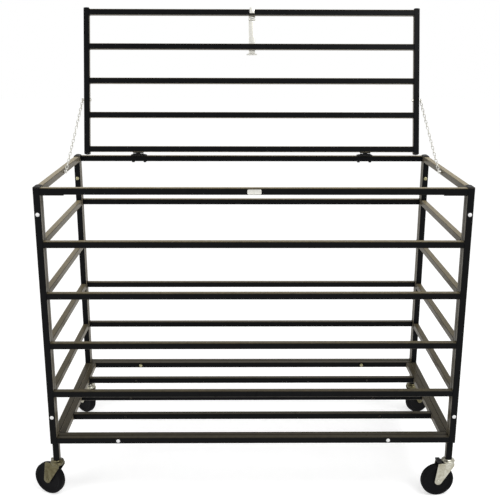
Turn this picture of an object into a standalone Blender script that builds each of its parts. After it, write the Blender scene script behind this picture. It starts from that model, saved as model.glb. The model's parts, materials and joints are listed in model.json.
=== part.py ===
"""Rolling ball locker: a welded square-tube cage on four swivel casters.

Four tube panels are bolted round a floor grid. The top is a hinged tube lid that
leans back on two chains and locks with a strap hasp that hooks over the front rail.
Metres, +Z up, the front of the locker faces -Y. The lid is modelled open.
"""

from math import atan2, cos, degrees, hypot, pi, radians, sin

import bmesh
import bpy
from mathutils import Matrix, Vector

# Driving dimensions of the cage
WIDTH = 1.2192
DEPTH = 0.5970
TUBE = 0.01905
WALL = 0.0015
CORNER = 0.0016
RAIL_PITCH = 0.1524
RAILS = 6
FRAME_TOP = 0.9695
LEG_END = 0.1210
FLOOR_RAILS = 5
GAP = 0.0003
GRIP = 0.0008
END_GRIP = 0.0012

# Fasteners
BOLT_R = 0.00315
BOLT_HEAD_R = 0.0058
BOLT_HEAD_H = 0.0034
NUT_R = 0.0060
NUT_H = 0.0050
BOLT_CLEARANCE = 0.00035
TOP_BOLT_DROP = 0.0750
LOW_BOLT_RISE = 0.0870
FLOOR_BOLT_X = 0.4060

# Tube plugs
PLUG_LIP = 0.0015
PLUG_DOME = 0.0032
PLUG_DEPTH = 0.0120

# Lid
LID_SIDE_GAP = 0.01905
LID_RAILS = 5
LID_PITCH = 0.1160
LID_OPEN = 104.0
HINGE_OVERHANG = 0.0045
LID_FIRST_RAIL = 0.0175
SIDE_TUBE_REAR = 0.0030
SIDE_TUBE_LEAD = 0.0020
REST_WIDTH = 0.0640
REST_LAP = 0.0240
REST_PLATE = 0.0030

# Lid hinges
HINGE_X = 0.3900
KNUCKLE_R = 0.0045
HINGE_PIN_R = 0.0022
HINGE_LEAF = 0.0025
HINGE_BASE_WIDTH = 0.0550
HINGE_BARREL = 0.0370
HINGE_MIDDLE = 0.0160
HINGE_BOLT_X = 0.0200

# Hasp
HASP_SETBACK = 0.0310
HASP_KNUCKLE_R = 0.0042
HASP_PIN_R = 0.0018
HASP_MIDDLE = 0.0106
STRAP_WIDTH = 0.0220
STRAP_THICK = 0.0030
STRAP_END_WIDTH = 0.0360
STRAP_END_DROP = 0.0360
STRAP_BEND = 0.0040
STRAP_HANG = 5.5
HASP_PLATE = 0.0020
HASP_HOOK_WIDTH = 0.0160
LOCK_SLOT_WIDTH = 0.0180
LOCK_SLOT_HEIGHT = 0.0080
LOCK_SLOT_BELOW = 0.0035
STRIKE_WIDTH = 0.0390
STRIKE_HEIGHT = 0.0140
STRIKE_CORNER = 0.0035
STRIKE_DROP = 0.0102
STRIKE_THICK = 0.0020

# Lid stay chains
CHAIN_BASE_AHEAD = 0.2565
CHAIN_LID_OUT = 0.1850
CHAIN_BASE_IN = 0.00555
CHAIN_LID_BESIDE = 0.0055
CHAIN_WIRE = 0.0022
CHAIN_INSIDE = 0.0050
CHAIN_LOWER_LINKS = 13
CHAIN_UPPER_LINKS = 10
CHAIN_HANG = -80.0
CHAIN_BITE = 0.0003
CHAIN_MID_GAP = 0.0004
ANCHOR_SHANK_R = 0.0022
ANCHOR_HEAD_R = 0.0055
ANCHOR_HEAD_H = 0.0025
ANCHOR_COLLAR_R = 0.0045
ANCHOR_NUT_R = 0.0050
ANCHOR_NUT_H = 0.0040

# Casters
WHEEL_R = 0.0508
WHEEL_HALF = 0.0120
HUB_HALF = 0.0132
AXLE_R = 0.0041
TRAIL = 0.0316
FORK_INNER = 0.0138
FORK_PLATE = 0.0025
FORK_END_R = 0.0115
FORK_TOP = 0.1110
YOKE_Z = 0.1050
YOKE_THICK = 0.0025
CROWN_R = 0.0185
CROWN_TOP = 0.1130
RACE_R = 0.0205
KINGPIN_R = 0.0050
KINGPIN_HEAD_R = 0.0080
STEM_PLUG = 0.0450
PEDAL_T = 0.0228
PEDAL_Z = 0.1071
PEDAL_PIN_R = 0.0020
CASTERS = {
    "front_left": (-1, 0, 155.0, False),
    "front_right": (1, 0, 186.0, True),
    "rear_left": (-1, 1, 140.0, True),
    "rear_right": (1, 1, 25.0, False),
}

# Sizes that follow from the ones above
HALF = TUBE / 2
RAIL_HALF = HALF - 0.0001
CROSS_HALF = HALF - 0.0002
HALF_WIDTH = WIDTH / 2
POST_X = HALF_WIDTH - HALF
INNER_X = HALF_WIDTH - TUBE
LID_WIDTH = 2 * (INNER_X - LID_SIDE_GAP)
CHAIN_X_BASE = INNER_X - CHAIN_BASE_IN
CHAIN_X_LID = LID_WIDTH / 2 + CHAIN_LID_BESIDE
PANEL_BOTTOM = FRAME_TOP - (RAILS - 1) * RAIL_PITCH - TUBE
END_FRONT_Y = TUBE + GAP + HALF
END_REAR_Y = DEPTH - END_FRONT_Y
BACK_Y = DEPTH - HALF
HINGE_Y = DEPTH - TUBE - HINGE_OVERHANG
HINGE_Z = FRAME_TOP + GAP + KNUCKLE_R
LID_DROP = KNUCKLE_R
LID_MID_Z = -LID_DROP - HALF
LID_LAST_RAIL = LID_FIRST_RAIL + (LID_RAILS - 1) * LID_PITCH
LID_FRONT = LID_LAST_RAIL + HALF + SIDE_TUBE_LEAD
HASP_OUT = LID_FRONT - HASP_SETBACK
BORE_HALF = HALF - WALL - GAP
AXLE_Z = WHEEL_R

# Matrices that stand a flat outline up: extruded along X, and along -Y
ACROSS = Matrix(((0, 0, 1, 0), (1, 0, 0, 0), (0, 1, 0, 0), (0, 0, 0, 1)))
UPRIGHT = Matrix(((1, 0, 0, 0), (0, 0, -1, 0), (0, 1, 0, 0), (0, 0, 0, 1)))


def linear(channel):
    """One sRGB channel from 0 to 255 as the linear value that a shader takes."""
    value = channel / 255
    return value / 12.92 if value <= 0.04045 else ((value + 0.055) / 1.055) ** 2.4


def material(name, rgb, roughness, metallic=0.0):
    made = bpy.data.materials.new(name)
    made.use_nodes = True
    shader = made.node_tree.nodes["Principled BSDF"]
    shader.inputs["Base Color"].default_value = (*(linear(c) for c in rgb), 1.0)
    shader.inputs["Roughness"].default_value = roughness
    shader.inputs["Metallic"].default_value = metallic
    return made


def add_loops(bm, loops, closed_ends=True):
    """Skin a list of equal loops of points, in order, and cap the first and last."""
    rings = [[bm.verts.new(point) for point in loop] for loop in loops]
    count = len(rings[0])
    for low, high in zip(rings, rings[1:]):
        for i in range(count):
            j = (i + 1) % count
            bm.faces.new((low[i], low[j], high[j], high[i]))
    if closed_ends:
        bm.faces.new(rings[0][::-1])
        bm.faces.new(rings[-1])
    else:
        for i in range(count):
            j = (i + 1) % count
            bm.faces.new((rings[-1][i], rings[-1][j], rings[0][j], rings[0][i]))


def add_prism(bm, outline, low, high, matrix=Matrix()):
    """Extrude a flat outline along its own Z from low to high."""
    add_loops(bm, [[matrix @ Vector((u, v, z)) for u, v in outline] for z in (low, high)])


def add_box(bm, low, high):
    outline = [(low[0], low[1]), (high[0], low[1]), (high[0], high[1]), (low[0], high[1])]
    add_prism(bm, outline, low[2], high[2])


def square(half, chamfer):
    """A square outline with its corners taken off."""
    flat = half - chamfer
    return [(half, -flat), (half, flat), (flat, half), (-flat, half),
            (-half, flat), (-half, -flat), (-flat, -half), (flat, -half)]


def along(start, end):
    """The matrix that carries +Z from the origin onto the line from start to end."""
    turn = (Vector(end) - Vector(start)).to_track_quat("Z", "Y").to_matrix().to_4x4()
    return Matrix.Translation(start) @ turn


def add_bar(bm, start, end, half=RAIL_HALF):
    """A solid length of the square tube, a little under size so that no welded face is flush."""
    length = (Vector(end) - Vector(start)).length
    add_prism(bm, square(half, CORNER), 0, length, along(start, end))


def add_hollow_tube(bm, start, end):
    """A length of the square tube with its bore, open at both ends."""
    length = (Vector(end) - Vector(start)).length
    place = along(start, end)
    sections = [(square(HALF, CORNER), 0), (square(HALF, CORNER), length),
                (square(HALF - WALL, CORNER / 2), length), (square(HALF - WALL, CORNER / 2), 0)]
    add_loops(bm, [[place @ Vector((u, v, z)) for u, v in outline] for outline, z in sections],
              closed_ends=False)


def add_turned(bm, profile, matrix=Matrix(), segments=16):
    """Turn a profile of (radius, height) points that starts and ends on the axis."""
    def ring(radius, height):
        return [matrix @ Vector((radius * cos(2 * pi * i / segments),
                                 radius * sin(2 * pi * i / segments), height))
                for i in range(segments)]
    add_loops(bm, [ring(radius, height) for radius, height in profile])


def add_cylinder(bm, radius, start, end, segments=12):
    length = (Vector(end) - Vector(start)).length
    add_turned(bm, [(radius, 0), (radius, length)], along(start, end), segments)


def shape(*builders):
    """A bmesh filled by calling each builder in turn."""
    bm = bmesh.new()
    for build in builders:
        build(bm)
    return bm


def mesh_object(name, bm):
    bmesh.ops.recalc_face_normals(bm, faces=bm.faces)
    mesh = bpy.data.meshes.new(name)
    bm.to_mesh(mesh)
    bm.free()
    made = bpy.data.objects.new(name, mesh)
    bpy.context.scene.collection.objects.link(made)
    return made


def make(name, base, finish, parent, joined=(), cut=(), place=Matrix(), smooth=30):
    """One sub-part: base with the joined shapes added and the cut shapes taken away."""
    made = mesh_object(name, base)
    made.data.materials.append(finish)
    made.data.shade_smooth()
    made.data.set_sharp_from_angle(angle=radians(smooth))
    made.parent = parent
    made.matrix_basis = place
    steps = [("UNION", bm) for bm in joined] + [("DIFFERENCE", bm) for bm in cut]
    for index, (operation, bm) in enumerate(steps):
        helper = mesh_object(f"{name}_tool_{index}", bm)
        helper.parent = made
        helper.hide_render = True
        helper.display_type = "WIRE"
        step = made.modifiers.new(f"{operation.lower()}_{index}", "BOOLEAN")
        step.operation = operation
        step.solver = "EXACT"
        step.object = helper
    return made


def empty(name, parent, place=Matrix()):
    made = bpy.data.objects.new(name, None)
    bpy.context.scene.collection.objects.link(made)
    made.parent = parent
    made.matrix_basis = place
    return made


def rail_heights():
    """Centre heights of the rails, from the top rail down."""
    return [FRAME_TOP - HALF - i * RAIL_PITCH for i in range(RAILS)]


def bolt_heights():
    return (FRAME_TOP - TOP_BOLT_DROP, PANEL_BOTTOM + LOW_BOLT_RISE)


def bolt_hole(x, z):
    radius = BOLT_R + BOLT_CLEARANCE

    def build(bm):
        add_cylinder(bm, radius, (x, -TUBE, z), (x, DEPTH + TUBE, z), 10)
    return build


def long_panel(name, y, finish, parent, extra=(), extra_cut=()):
    """The front or the back: two posts with six rails between them."""
    posts = shape(*[lambda bm, x=x: add_hollow_tube(bm, (x, y, PANEL_BOTTOM), (x, y, FRAME_TOP))
                    for x in (-POST_X, POST_X)])
    reach = INNER_X + GRIP
    rails = shape(*[lambda bm, z=z: add_bar(bm, (-reach, y, z), (reach, y, z)) for z in rail_heights()])
    posts_and_floor = [(x, z) for x in (-POST_X, POST_X) for z in bolt_heights()]
    posts_and_floor += [(x, rail_heights()[-1]) for x in (-FLOOR_BOLT_X, FLOOR_BOLT_X)]
    holes = shape(*[bolt_hole(x, z) for x, z in posts_and_floor])
    return make(name, posts, finish, parent, [rails, *extra], [holes, *extra_cut])


def lid_rests():
    """Corner tongues under the front top rail, which carry the lid's side tubes when it is shut."""
    top = FRAME_TOP - TUBE
    reach = HINGE_Y - LID_FRONT + REST_LAP

    weld = top + 2 * GAP
    outline = [(HALF - 0.004, weld), (HALF + 0.004, weld), (HALF + 0.004, top), (reach, top),
               (reach, top - REST_PLATE), (HALF - 0.004, top - REST_PLATE)]
    inner, outer = INNER_X - REST_WIDTH, INNER_X - GAP
    return shape(lambda bm: add_prism(bm, outline, -outer, -inner, ACROSS),
                 lambda bm: add_prism(bm, outline, inner, outer, ACROSS))


def end_panel(side, finish, parent):
    """A side of the cage: two legs, which carry the casters, and six rails between them."""
    name = "left_end_panel" if side < 0 else "right_end_panel"
    x = side * POST_X
    legs = shape(*[lambda bm, y=y: add_hollow_tube(bm, (x, y, LEG_END), (x, y, FRAME_TOP))
                   for y in (END_FRONT_Y, END_REAR_Y)])
    low, high = END_FRONT_Y + HALF - END_GRIP, END_REAR_Y - HALF + END_GRIP
    rails = shape(*[lambda bm, z=z: add_bar(bm, (x, low, z), (x, high, z)) for z in rail_heights()])
    holes = shape(*[bolt_hole(x, z) for z in bolt_heights()])
    y, z = chain_base()
    radius = ANCHOR_SHANK_R + BOLT_CLEARANCE
    anchor = shape(lambda bm: add_cylinder(bm, radius, (x - TUBE, y, z), (x + TUBE, y, z), 8))
    return make(name, legs, finish, parent, [rails], [holes, anchor])


def floor_grid(finish, parent):
    """Five long tubes level with the bottom rails: the outer two run the full width, with the two
    cross members between them, and the inner three run between the cross members."""
    z = rail_heights()[-1]
    edge = INNER_X - GAP
    first, last = END_FRONT_Y, END_REAR_Y
    outer = shape(*[lambda bm, y=y: add_bar(bm, (-edge, y, z), (edge, y, z), HALF)
                    for y in (first, last)])
    low, high = first + HALF - GRIP, last - HALF + GRIP
    cross = shape(*[lambda bm, x=x: add_bar(bm, (x, low, z), (x, high, z), CROSS_HALF)
                    for x in (-edge + HALF, edge - HALF)])
    pitch = (last - first) / (FLOOR_RAILS - 1)
    reach = edge - TUBE + GRIP
    inner = shape(*[lambda bm, y=first + i * pitch: add_bar(bm, (-reach, y, z), (reach, y, z))
                    for i in range(1, FLOOR_RAILS - 1)])
    holes = shape(*[bolt_hole(x, z) for x in (-FLOOR_BOLT_X, FLOOR_BOLT_X)])
    return make("floor_grid", outer, finish, parent, [cross, inner], [holes])


def panel_bolt(name, x, z, at_back, finish, parent):
    """A round-head bolt through both tubes, with its nut. The head is on the outside."""
    start = Vector((x, DEPTH + GAP, z)) if at_back else Vector((x, -GAP, z))
    inward = Vector((0, -1, 0)) if at_back else Vector((0, 1, 0))
    place = along(start, start + inward)
    grip = 2 * TUBE + 3 * GAP
    tail = grip + NUT_H + 0.0020
    profile = [(BOLT_HEAD_R * 0.45, -BOLT_HEAD_H), (BOLT_HEAD_R * 0.86, -BOLT_HEAD_H * 0.7),
               (BOLT_HEAD_R, 0), (BOLT_R, 0), (BOLT_R, tail)]
    body = shape(lambda bm: add_turned(bm, profile, place, 10))
    nut = shape(lambda bm: add_turned(bm, [(NUT_R, grip), (NUT_R, grip + NUT_H)], place, 6))
    return make(name, body, finish, parent, [nut])


def tube_plug(name, place, finish, parent):
    """A moulded end plug: a domed cap over a square insert that fills the bore."""
    sections = [(square(BORE_HALF, CORNER / 2), -PLUG_DEPTH), (square(BORE_HALF, CORNER / 2), GAP),
                (square(HALF, CORNER), GAP), (square(HALF, CORNER), PLUG_LIP),
                (square(HALF * 0.8, CORNER), PLUG_LIP + PLUG_DOME * 0.7),
                (square(HALF * 0.45, CORNER), PLUG_LIP + PLUG_DOME)]
    body = shape(lambda bm: add_loops(bm, [[Vector((u, v, z)) for u, v in outline]
                                           for outline, z in sections]))
    return make(name, body, finish, parent, place=place)


def lid_frame(finish, lid):
    """Five rails between two side tubes, in the lid's own frame: -Y is towards its front edge."""
    x = LID_WIDTH / 2 - HALF
    sides = shape(*[lambda bm, x=s * x: add_hollow_tube(bm, (x, -LID_FRONT, LID_MID_Z),
                                                        (x, -SIDE_TUBE_REAR, LID_MID_Z)) for s in (-1, 1)])
    reach = LID_WIDTH / 2 - TUBE + GRIP
    rails = shape(*[lambda bm, y=-LID_FIRST_RAIL - i * LID_PITCH:
                    add_bar(bm, (-reach, y, LID_MID_Z), (reach, y, LID_MID_Z)) for i in range(LID_RAILS)])
    radius = ANCHOR_SHANK_R + BOLT_CLEARANCE
    holes = shape(lambda bm: add_cylinder(bm, radius, (-WIDTH, -CHAIN_LID_OUT, LID_MID_Z),
                                          (WIDTH, -CHAIN_LID_OUT, LID_MID_Z), 12))
    return make("lid_frame", sides, finish, lid, [rails], [holes])


def hinge_base(name, x, finish, parent):
    """The fixed leaf, bolted through the back top rail, with its outer knuckles and the pin."""
    half = HINGE_BASE_WIDTH / 2
    low = FRAME_TOP + GAP
    clear = KNUCKLE_R + 2 * GAP
    plate = shape(lambda bm: add_box(bm, (x - half, HINGE_Y + clear, low),
                                     (x + half, DEPTH - CORNER, low + HINGE_LEAF)))

    def knuckles(bm):
        for side in (-1, 1):
            near, far = side * (HINGE_MIDDLE / 2 + GAP), side * HINGE_BARREL / 2
            add_cylinder(bm, KNUCKLE_R, (x + near, HINGE_Y, HINGE_Z), (x + far, HINGE_Y, HINGE_Z))

    def webs(bm):
        for side in (-1, 1):
            near, far = sorted((side * (HINGE_MIDDLE / 2 + GAP), side * HINGE_BARREL / 2))
            add_box(bm, (x + near, HINGE_Y, low), (x + far, HINGE_Y + clear + GRIP, low + HINGE_LEAF))

    def pin(bm):
        end = HINGE_BARREL / 2 + 0.0010
        add_cylinder(bm, HINGE_PIN_R, (x - end, HINGE_Y, HINGE_Z), (x + end, HINGE_Y, HINGE_Z), 12)
    return make(name, plate, finish, parent, [shape(knuckles), shape(webs), shape(pin), *hinge_bolts(x)])


def hinge_bolts(x):
    """The two bolts of a hinge base, down through the rail to nuts below it."""
    top = FRAME_TOP + GAP + HINGE_LEAF
    nut_top = FRAME_TOP - TUBE - GAP

    def shanks(bm):
        for side in (-1, 1):
            foot = (x + side * HINGE_BOLT_X, BACK_Y, nut_top - ANCHOR_NUT_H)
            head = (x + side * HINGE_BOLT_X, BACK_Y, top + 0.0010)
            add_cylinder(bm, ANCHOR_SHANK_R, foot, head, 8)

    def ends(bm):
        for side in (-1, 1):
            centre = Matrix.Translation((x + side * HINGE_BOLT_X, BACK_Y, 0))
            add_turned(bm, [(ANCHOR_NUT_R, top - GRIP), (ANCHOR_NUT_R * 0.6, top + 0.0022)], centre, 10)
            nut_low = nut_top - ANCHOR_NUT_H + GRIP
            add_turned(bm, [(ANCHOR_NUT_R, nut_low), (ANCHOR_NUT_R, nut_top)], centre, 6)
    return [shape(shanks), shape(ends)]


def hinge_leaf(name, x, finish, lid):
    """The lid's leaf: a plate on the rear rail and the middle knuckle."""
    half = HINGE_BARREL / 2
    low = -LID_DROP + GAP
    end = -LID_FIRST_RAIL - HALF + CORNER
    clear = KNUCKLE_R + 2 * GAP
    plate = shape(lambda bm: add_box(bm, (x - half, end, low), (x + half, -clear, low + HINGE_LEAF)))
    middle = HINGE_MIDDLE / 2
    knuckle = shape(lambda bm: add_cylinder(bm, KNUCKLE_R, (x - middle, 0, 0), (x + middle, 0, 0)))
    web = shape(lambda bm: add_box(bm, (x - middle, -clear - GRIP, low), (x + middle, 0, low + HINGE_LEAF)))
    rivets = shape(*[lambda bm, s=s: add_turned(
        bm, [(0.0042, low + HINGE_LEAF - GRIP), (0.0024, low + HINGE_LEAF + 0.0016)],
        Matrix.Translation((x + s * HINGE_MIDDLE * 0.7, -LID_FIRST_RAIL, 0)), 12) for s in (-1, 1)])
    bore = shape(lambda bm: add_cylinder(bm, HINGE_PIN_R + GAP, (x - half, 0, 0), (x + half, 0, 0), 12))
    return make(name, plate, finish, lid, [knuckle, web, rivets], [bore])


def hasp_leaf(finish, lid):
    """The fixed half of the hasp. It hooks round the lid's front rail and carries the pin."""
    y = -HASP_OUT
    low = -LID_DROP + GAP
    front = -LID_LAST_RAIL - HALF - GAP
    under = -LID_DROP - TUBE - GAP
    half = STRAP_WIDTH / 2
    hook = HASP_HOOK_WIDTH / 2
    clear = HASP_KNUCKLE_R + 2 * GAP
    outer = front - 0.0052
    top = shape(lambda bm: add_box(bm, (-half, front, low), (half, y - clear, low + HASP_PLATE)))

    def wrap(bm):
        outline = [(front - 0.0001 + GRIP, low + HASP_PLATE), (outer + 0.0015, low + HASP_PLATE),
                   (outer, low), (outer, under), (outer + 0.0015, under - HASP_PLATE),
                   (-LID_LAST_RAIL + HALF * 0.5, under - HASP_PLATE), (-LID_LAST_RAIL + HALF * 0.5, under),
                   (front, under), (front, low), (front + GRIP, low)]
        add_prism(bm, outline, -hook, hook, ACROSS)

    def knuckles(bm):
        for side in (-1, 1):
            near, far = side * (HASP_MIDDLE / 2 + GAP), side * half
            add_cylinder(bm, HASP_KNUCKLE_R, (near, y, 0), (far, y, 0))

    def webs(bm):
        for side in (-1, 1):
            near, far = sorted((side * (HASP_MIDDLE / 2 + GAP), side * half))
            add_box(bm, (near, y - clear - GRIP, low), (far, y, low + HASP_PLATE))
    pin = shape(lambda bm: add_cylinder(bm, HASP_PIN_R, (-half - 0.001, y, 0), (half + 0.001, y, 0), 12))
    return make("hasp_leaf", top, finish, lid, [shape(wrap), shape(knuckles), shape(webs), pin])


def strap_reach():
    """From the hasp's pin to the inside of the strap's bent end, over the front rail."""
    return HINGE_Y - HASP_OUT + GAP + STRIKE_THICK + 2 * GAP


def hasp_strap(finish, lid):
    """The long strap, bent down at its end. Its slot comes just under the front rail, for a padlock."""
    reach = strap_reach()
    t = STRAP_THICK / 2
    bottom = FRAME_TOP - STRAP_END_DROP - HINGE_Z
    clear = HASP_KNUCKLE_R + 2 * GAP
    centre_y, centre_z = -reach + STRAP_BEND, -t - STRAP_BEND

    def bend(radius):
        return [(centre_y - radius * sin(a), centre_z + radius * cos(a))
                for a in (radians(angle) for angle in (0, 22.5, 45, 67.5, 90))]

    def strip(bm):
        inner = bend(STRAP_BEND)
        outer = bend(STRAP_BEND + STRAP_THICK)
        outline = [(-clear, -t), (-clear, t), *outer, (-reach - STRAP_THICK, centre_z - 0.004),
                   (-reach, centre_z - 0.004), *inner[::-1]]
        add_prism(bm, outline, -STRAP_WIDTH / 2, STRAP_WIDTH / 2, ACROSS)

    def end_plate(bm):
        half, cut = STRAP_END_WIDTH / 2, 0.006
        high = centre_z - 0.0005
        outline = [(-half, high), (-half, bottom + cut), (-half + cut, bottom), (half - cut, bottom),
                   (half, bottom + cut), (half, high)]
        add_prism(bm, outline, reach, reach + STRAP_THICK, UPRIGHT)
    middle = HASP_MIDDLE / 2
    knuckle = shape(lambda bm: add_cylinder(bm, HASP_KNUCKLE_R, (-middle, 0, 0), (middle, 0, 0)))
    neck = shape(lambda bm: add_box(bm, (-middle, -clear - GRIP, -t), (middle, 0, t)))
    bore = shape(lambda bm: add_cylinder(bm, HASP_PIN_R + GAP, (-STRAP_WIDTH, 0, 0), (STRAP_WIDTH, 0, 0)))
    slot_x = LOCK_SLOT_WIDTH / 2
    slot_top = FRAME_TOP - TUBE - LOCK_SLOT_BELOW - HINGE_Z
    slot = shape(lambda bm: add_box(bm, (-slot_x, -reach - 2 * STRAP_THICK, slot_top - LOCK_SLOT_HEIGHT),
                                    (slot_x, -reach + STRAP_THICK, slot_top)))
    place = Matrix.Translation((0, -HASP_OUT, 0)) @ Matrix.Rotation(radians(-strap_swing()), 4, "X")
    return make("hasp_strap", shape(strip), finish, lid, [shape(end_plate), knuckle, neck], [bore, slot],
                place)


def strap_swing():
    """The strap's turn, in degrees, from lying over the lid's edge to hanging behind the open lid."""
    return 360 - LID_OPEN - 90 + STRAP_HANG


def strike_plate(finish, parent):
    """The bright plate with rounded corners on the front rail, where the strap's end comes down."""
    z = FRAME_TOP - STRIKE_DROP
    half, high, r = STRIKE_WIDTH / 2, STRIKE_HEIGHT / 2, STRIKE_CORNER
    outline = [(x * (half - r) + r * cos(radians(a)), y * (high - r) + r * sin(radians(a)))
               for x, y, start in ((1, 1, 0), (-1, 1, 90), (-1, -1, 180), (1, -1, 270))
               for a in (start, start + 30, start + 60, start + 90)]
    plate = shape(lambda bm: add_prism(bm, outline, GAP, GAP + STRIKE_THICK,
                                       Matrix.Translation((0, 0, z)) @ UPRIGHT))
    return make("strike_plate", plate, finish, parent)


def lid_point(out, drop):
    """World (y, z) of a point on the open lid, out from the hinge pin and below its plane."""
    a = radians(LID_OPEN)
    return (HINGE_Y - out * cos(a) - drop * sin(a), HINGE_Z + out * sin(a) - drop * cos(a))


def chain_base():
    return (HINGE_Y - CHAIN_BASE_AHEAD, FRAME_TOP - HALF)


def chain_numbers():
    """Link pitch of a stay, and the turns that its two runs make while the lid shuts.

    The runs meet in a straight line when the lid is open. Each then follows the lid to its
    own hanging angle, on a path that keeps it clear of the other run.
    """
    base = Vector(chain_base())
    lid_open = Vector(lid_point(CHAIN_LID_OUT, -LID_MID_Z))
    span = lid_open - base
    slant = CHAIN_X_LID - CHAIN_X_BASE
    links = CHAIN_LOWER_LINKS + CHAIN_UPPER_LINKS
    slack = 2 * (CHAIN_BITE + ANCHOR_SHANK_R + GAP - CHAIN_WIRE) - CHAIN_MID_GAP
    pitch = (hypot(span.length, slant) + slack) / links
    inside = pitch - CHAIN_BITE
    opening = atan2(span.y, span.x)
    lower_turn = CHAIN_HANG - degrees(opening)
    upper_turn = CHAIN_HANG + 180 - degrees(opening) - LID_OPEN
    return {"pitch": pitch, "inside": inside, "first": inside / 2 - ANCHOR_SHANK_R - GAP,
            "slant": atan2(slant, span.length), "opening": opening, "base": base, "lid": lid_open,
            "lower_turn": lower_turn, "upper_turn": upper_turn}


def add_link(bm, centre, inside, turned):
    """One welded oval link along +Y. Turned links lie flat, the others stand in the YZ plane."""
    radius = (CHAIN_INSIDE + CHAIN_WIRE) / 2
    half = (inside - CHAIN_INSIDE) / 2
    path = []
    for end in (1, -1):
        for step in range(4):
            a = pi * step / 3
            path.append((end * radius * cos(a), end * (half + radius * sin(a))))
    rings = []
    for i, (u, v) in enumerate(path):
        middle = Vector((0, max(-half, min(half, v))))
        out = (Vector((u, v)) - middle).normalized()
        ring = []
        for k in range(5):
            a = 2 * pi * (k + 0.5) / 5
            across = u + CHAIN_WIRE / 2 * cos(a) * out.x
            lengthwise = centre + v + CHAIN_WIRE / 2 * cos(a) * out.y
            height = CHAIN_WIRE / 2 * sin(a)
            ring.append(Vector((across, lengthwise, height) if turned else (height, lengthwise, across)))
        rings.append(ring)
    add_loops(bm, rings, closed_ends=False)


def chain_run(name, links, finish, parent, place, numbers):
    """One half of a stay chain, along +Y from its anchor's axis. Neighbouring links bite a little."""
    def every_other(start):
        def build(bm):
            for i in range(start, links, 2):
                add_link(bm, numbers["first"] + i * numbers["pitch"], numbers["inside"], bool(i % 2))
        return build
    return make(name, shape(every_other(0)), finish, parent, [shape(every_other(1))], place=place)


def anchor_bolt(name, place, shoulder, chain, grip, finish, parent):
    """A stay's bolt along its own +X: nut, shank through the tube, collar, link space and head."""
    link = CHAIN_WIRE / 2 + GAP
    nut = -grip - 2 * GAP
    profile = [(ANCHOR_SHANK_R, nut - ANCHOR_NUT_H - 0.001), (ANCHOR_SHANK_R, 0), (ANCHOR_COLLAR_R, 0),
               (ANCHOR_COLLAR_R, shoulder), (ANCHOR_SHANK_R, shoulder), (ANCHOR_SHANK_R, chain + link),
               (ANCHOR_HEAD_R, chain + link), (ANCHOR_HEAD_R, chain + link + ANCHOR_HEAD_H * 0.5),
               (ANCHOR_HEAD_R * 0.6, chain + link + ANCHOR_HEAD_H)]
    body = shape(lambda bm: add_turned(bm, profile, ACROSS, 8))
    nut_body = shape(lambda bm: add_turned(bm, [(ANCHOR_NUT_R, nut - ANCHOR_NUT_H), (ANCHOR_NUT_R, nut)],
                                           ACROSS, 6))
    return make(name, body, finish, parent, [nut_body], place=place)


def stay(side, label, finishes, parent, lid):
    """A lid stay: two anchor bolts and the two runs of chain between them."""
    numbers = chain_numbers()
    flip = Matrix.Rotation(pi, 4, "Z") if side < 0 else Matrix()
    base_y, base_z = numbers["base"]
    face = INNER_X - GAP
    base = Matrix.Translation((side * face, base_y, base_z)) @ flip @ Matrix.Rotation(pi, 4, "Z")
    link = CHAIN_WIRE / 2 + GAP
    reach = face - CHAIN_X_BASE
    anchor_bolt(f"chain_anchor_frame_{label}", base, reach - link, reach, TUBE, finishes["zinc"], parent)
    face = LID_WIDTH / 2 + GAP
    on_lid = Matrix.Translation((side * face, -CHAIN_LID_OUT, LID_MID_Z)) @ flip
    reach = CHAIN_X_LID - face
    anchor_bolt(f"chain_anchor_lid_{label}", on_lid, reach - link, reach, TUBE, finishes["zinc"], lid)
    slant, opening = numbers["slant"], numbers["opening"]
    lower = (Matrix.Translation((side * CHAIN_X_BASE, base_y, base_z)) @ Matrix.Rotation(opening, 4, "X")
             @ Matrix.Rotation(-side * slant, 4, "Z"))
    chain_run(f"chain_lower_{label}", CHAIN_LOWER_LINKS, finishes["zinc"], parent, lower, numbers)
    lid_y, lid_z = numbers["lid"]
    upper = (Matrix.Translation((side * CHAIN_X_LID, lid_y, lid_z)) @ Matrix.Rotation(opening + pi, 4, "X")
             @ Matrix.Rotation(side * slant, 4, "Z"))
    chain_run(f"chain_upper_{label}", CHAIN_UPPER_LINKS, finishes["zinc"], parent, upper, numbers)


def caster_stem(name, finish, parent, place):
    """Stem, upper race and kingpin in one turned piece, with the square insert that grips the leg."""
    top = LEG_END - GAP
    profile = [(KINGPIN_HEAD_R, YOKE_Z - 0.0045), (KINGPIN_HEAD_R, YOKE_Z - GAP), (KINGPIN_R, YOKE_Z - GAP),
               (KINGPIN_R, CROWN_TOP + GAP), (RACE_R - 0.0015, CROWN_TOP + GAP), (RACE_R, CROWN_TOP + 0.0022),
               (RACE_R - 0.0010, CROWN_TOP + 0.0038), (0.0130, top), (0.0060, top), (0.0060, top + 0.002)]
    body = shape(lambda bm: add_turned(bm, profile, segments=16))
    insert = shape(lambda bm: add_prism(bm, square(BORE_HALF, CORNER / 2), LEG_END + 0.001,
                                        LEG_END + STEM_PLUG))
    return make(name, body, finish, parent, [insert], place=place)


def fork_side():
    """Side plate outline in (trail, z): wide at the yoke, tapering to a round end at the axle."""
    bottom = [(TRAIL + FORK_END_R * cos(radians(a)), AXLE_Z + FORK_END_R * sin(radians(a)))
              for a in range(10, -146, -31)]
    return [(-0.016, FORK_TOP), (-0.016, FORK_TOP - 0.010), *bottom[::-1], (TRAIL + 0.004, FORK_TOP - 0.006),
            (TRAIL + 0.001, FORK_TOP)]


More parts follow.
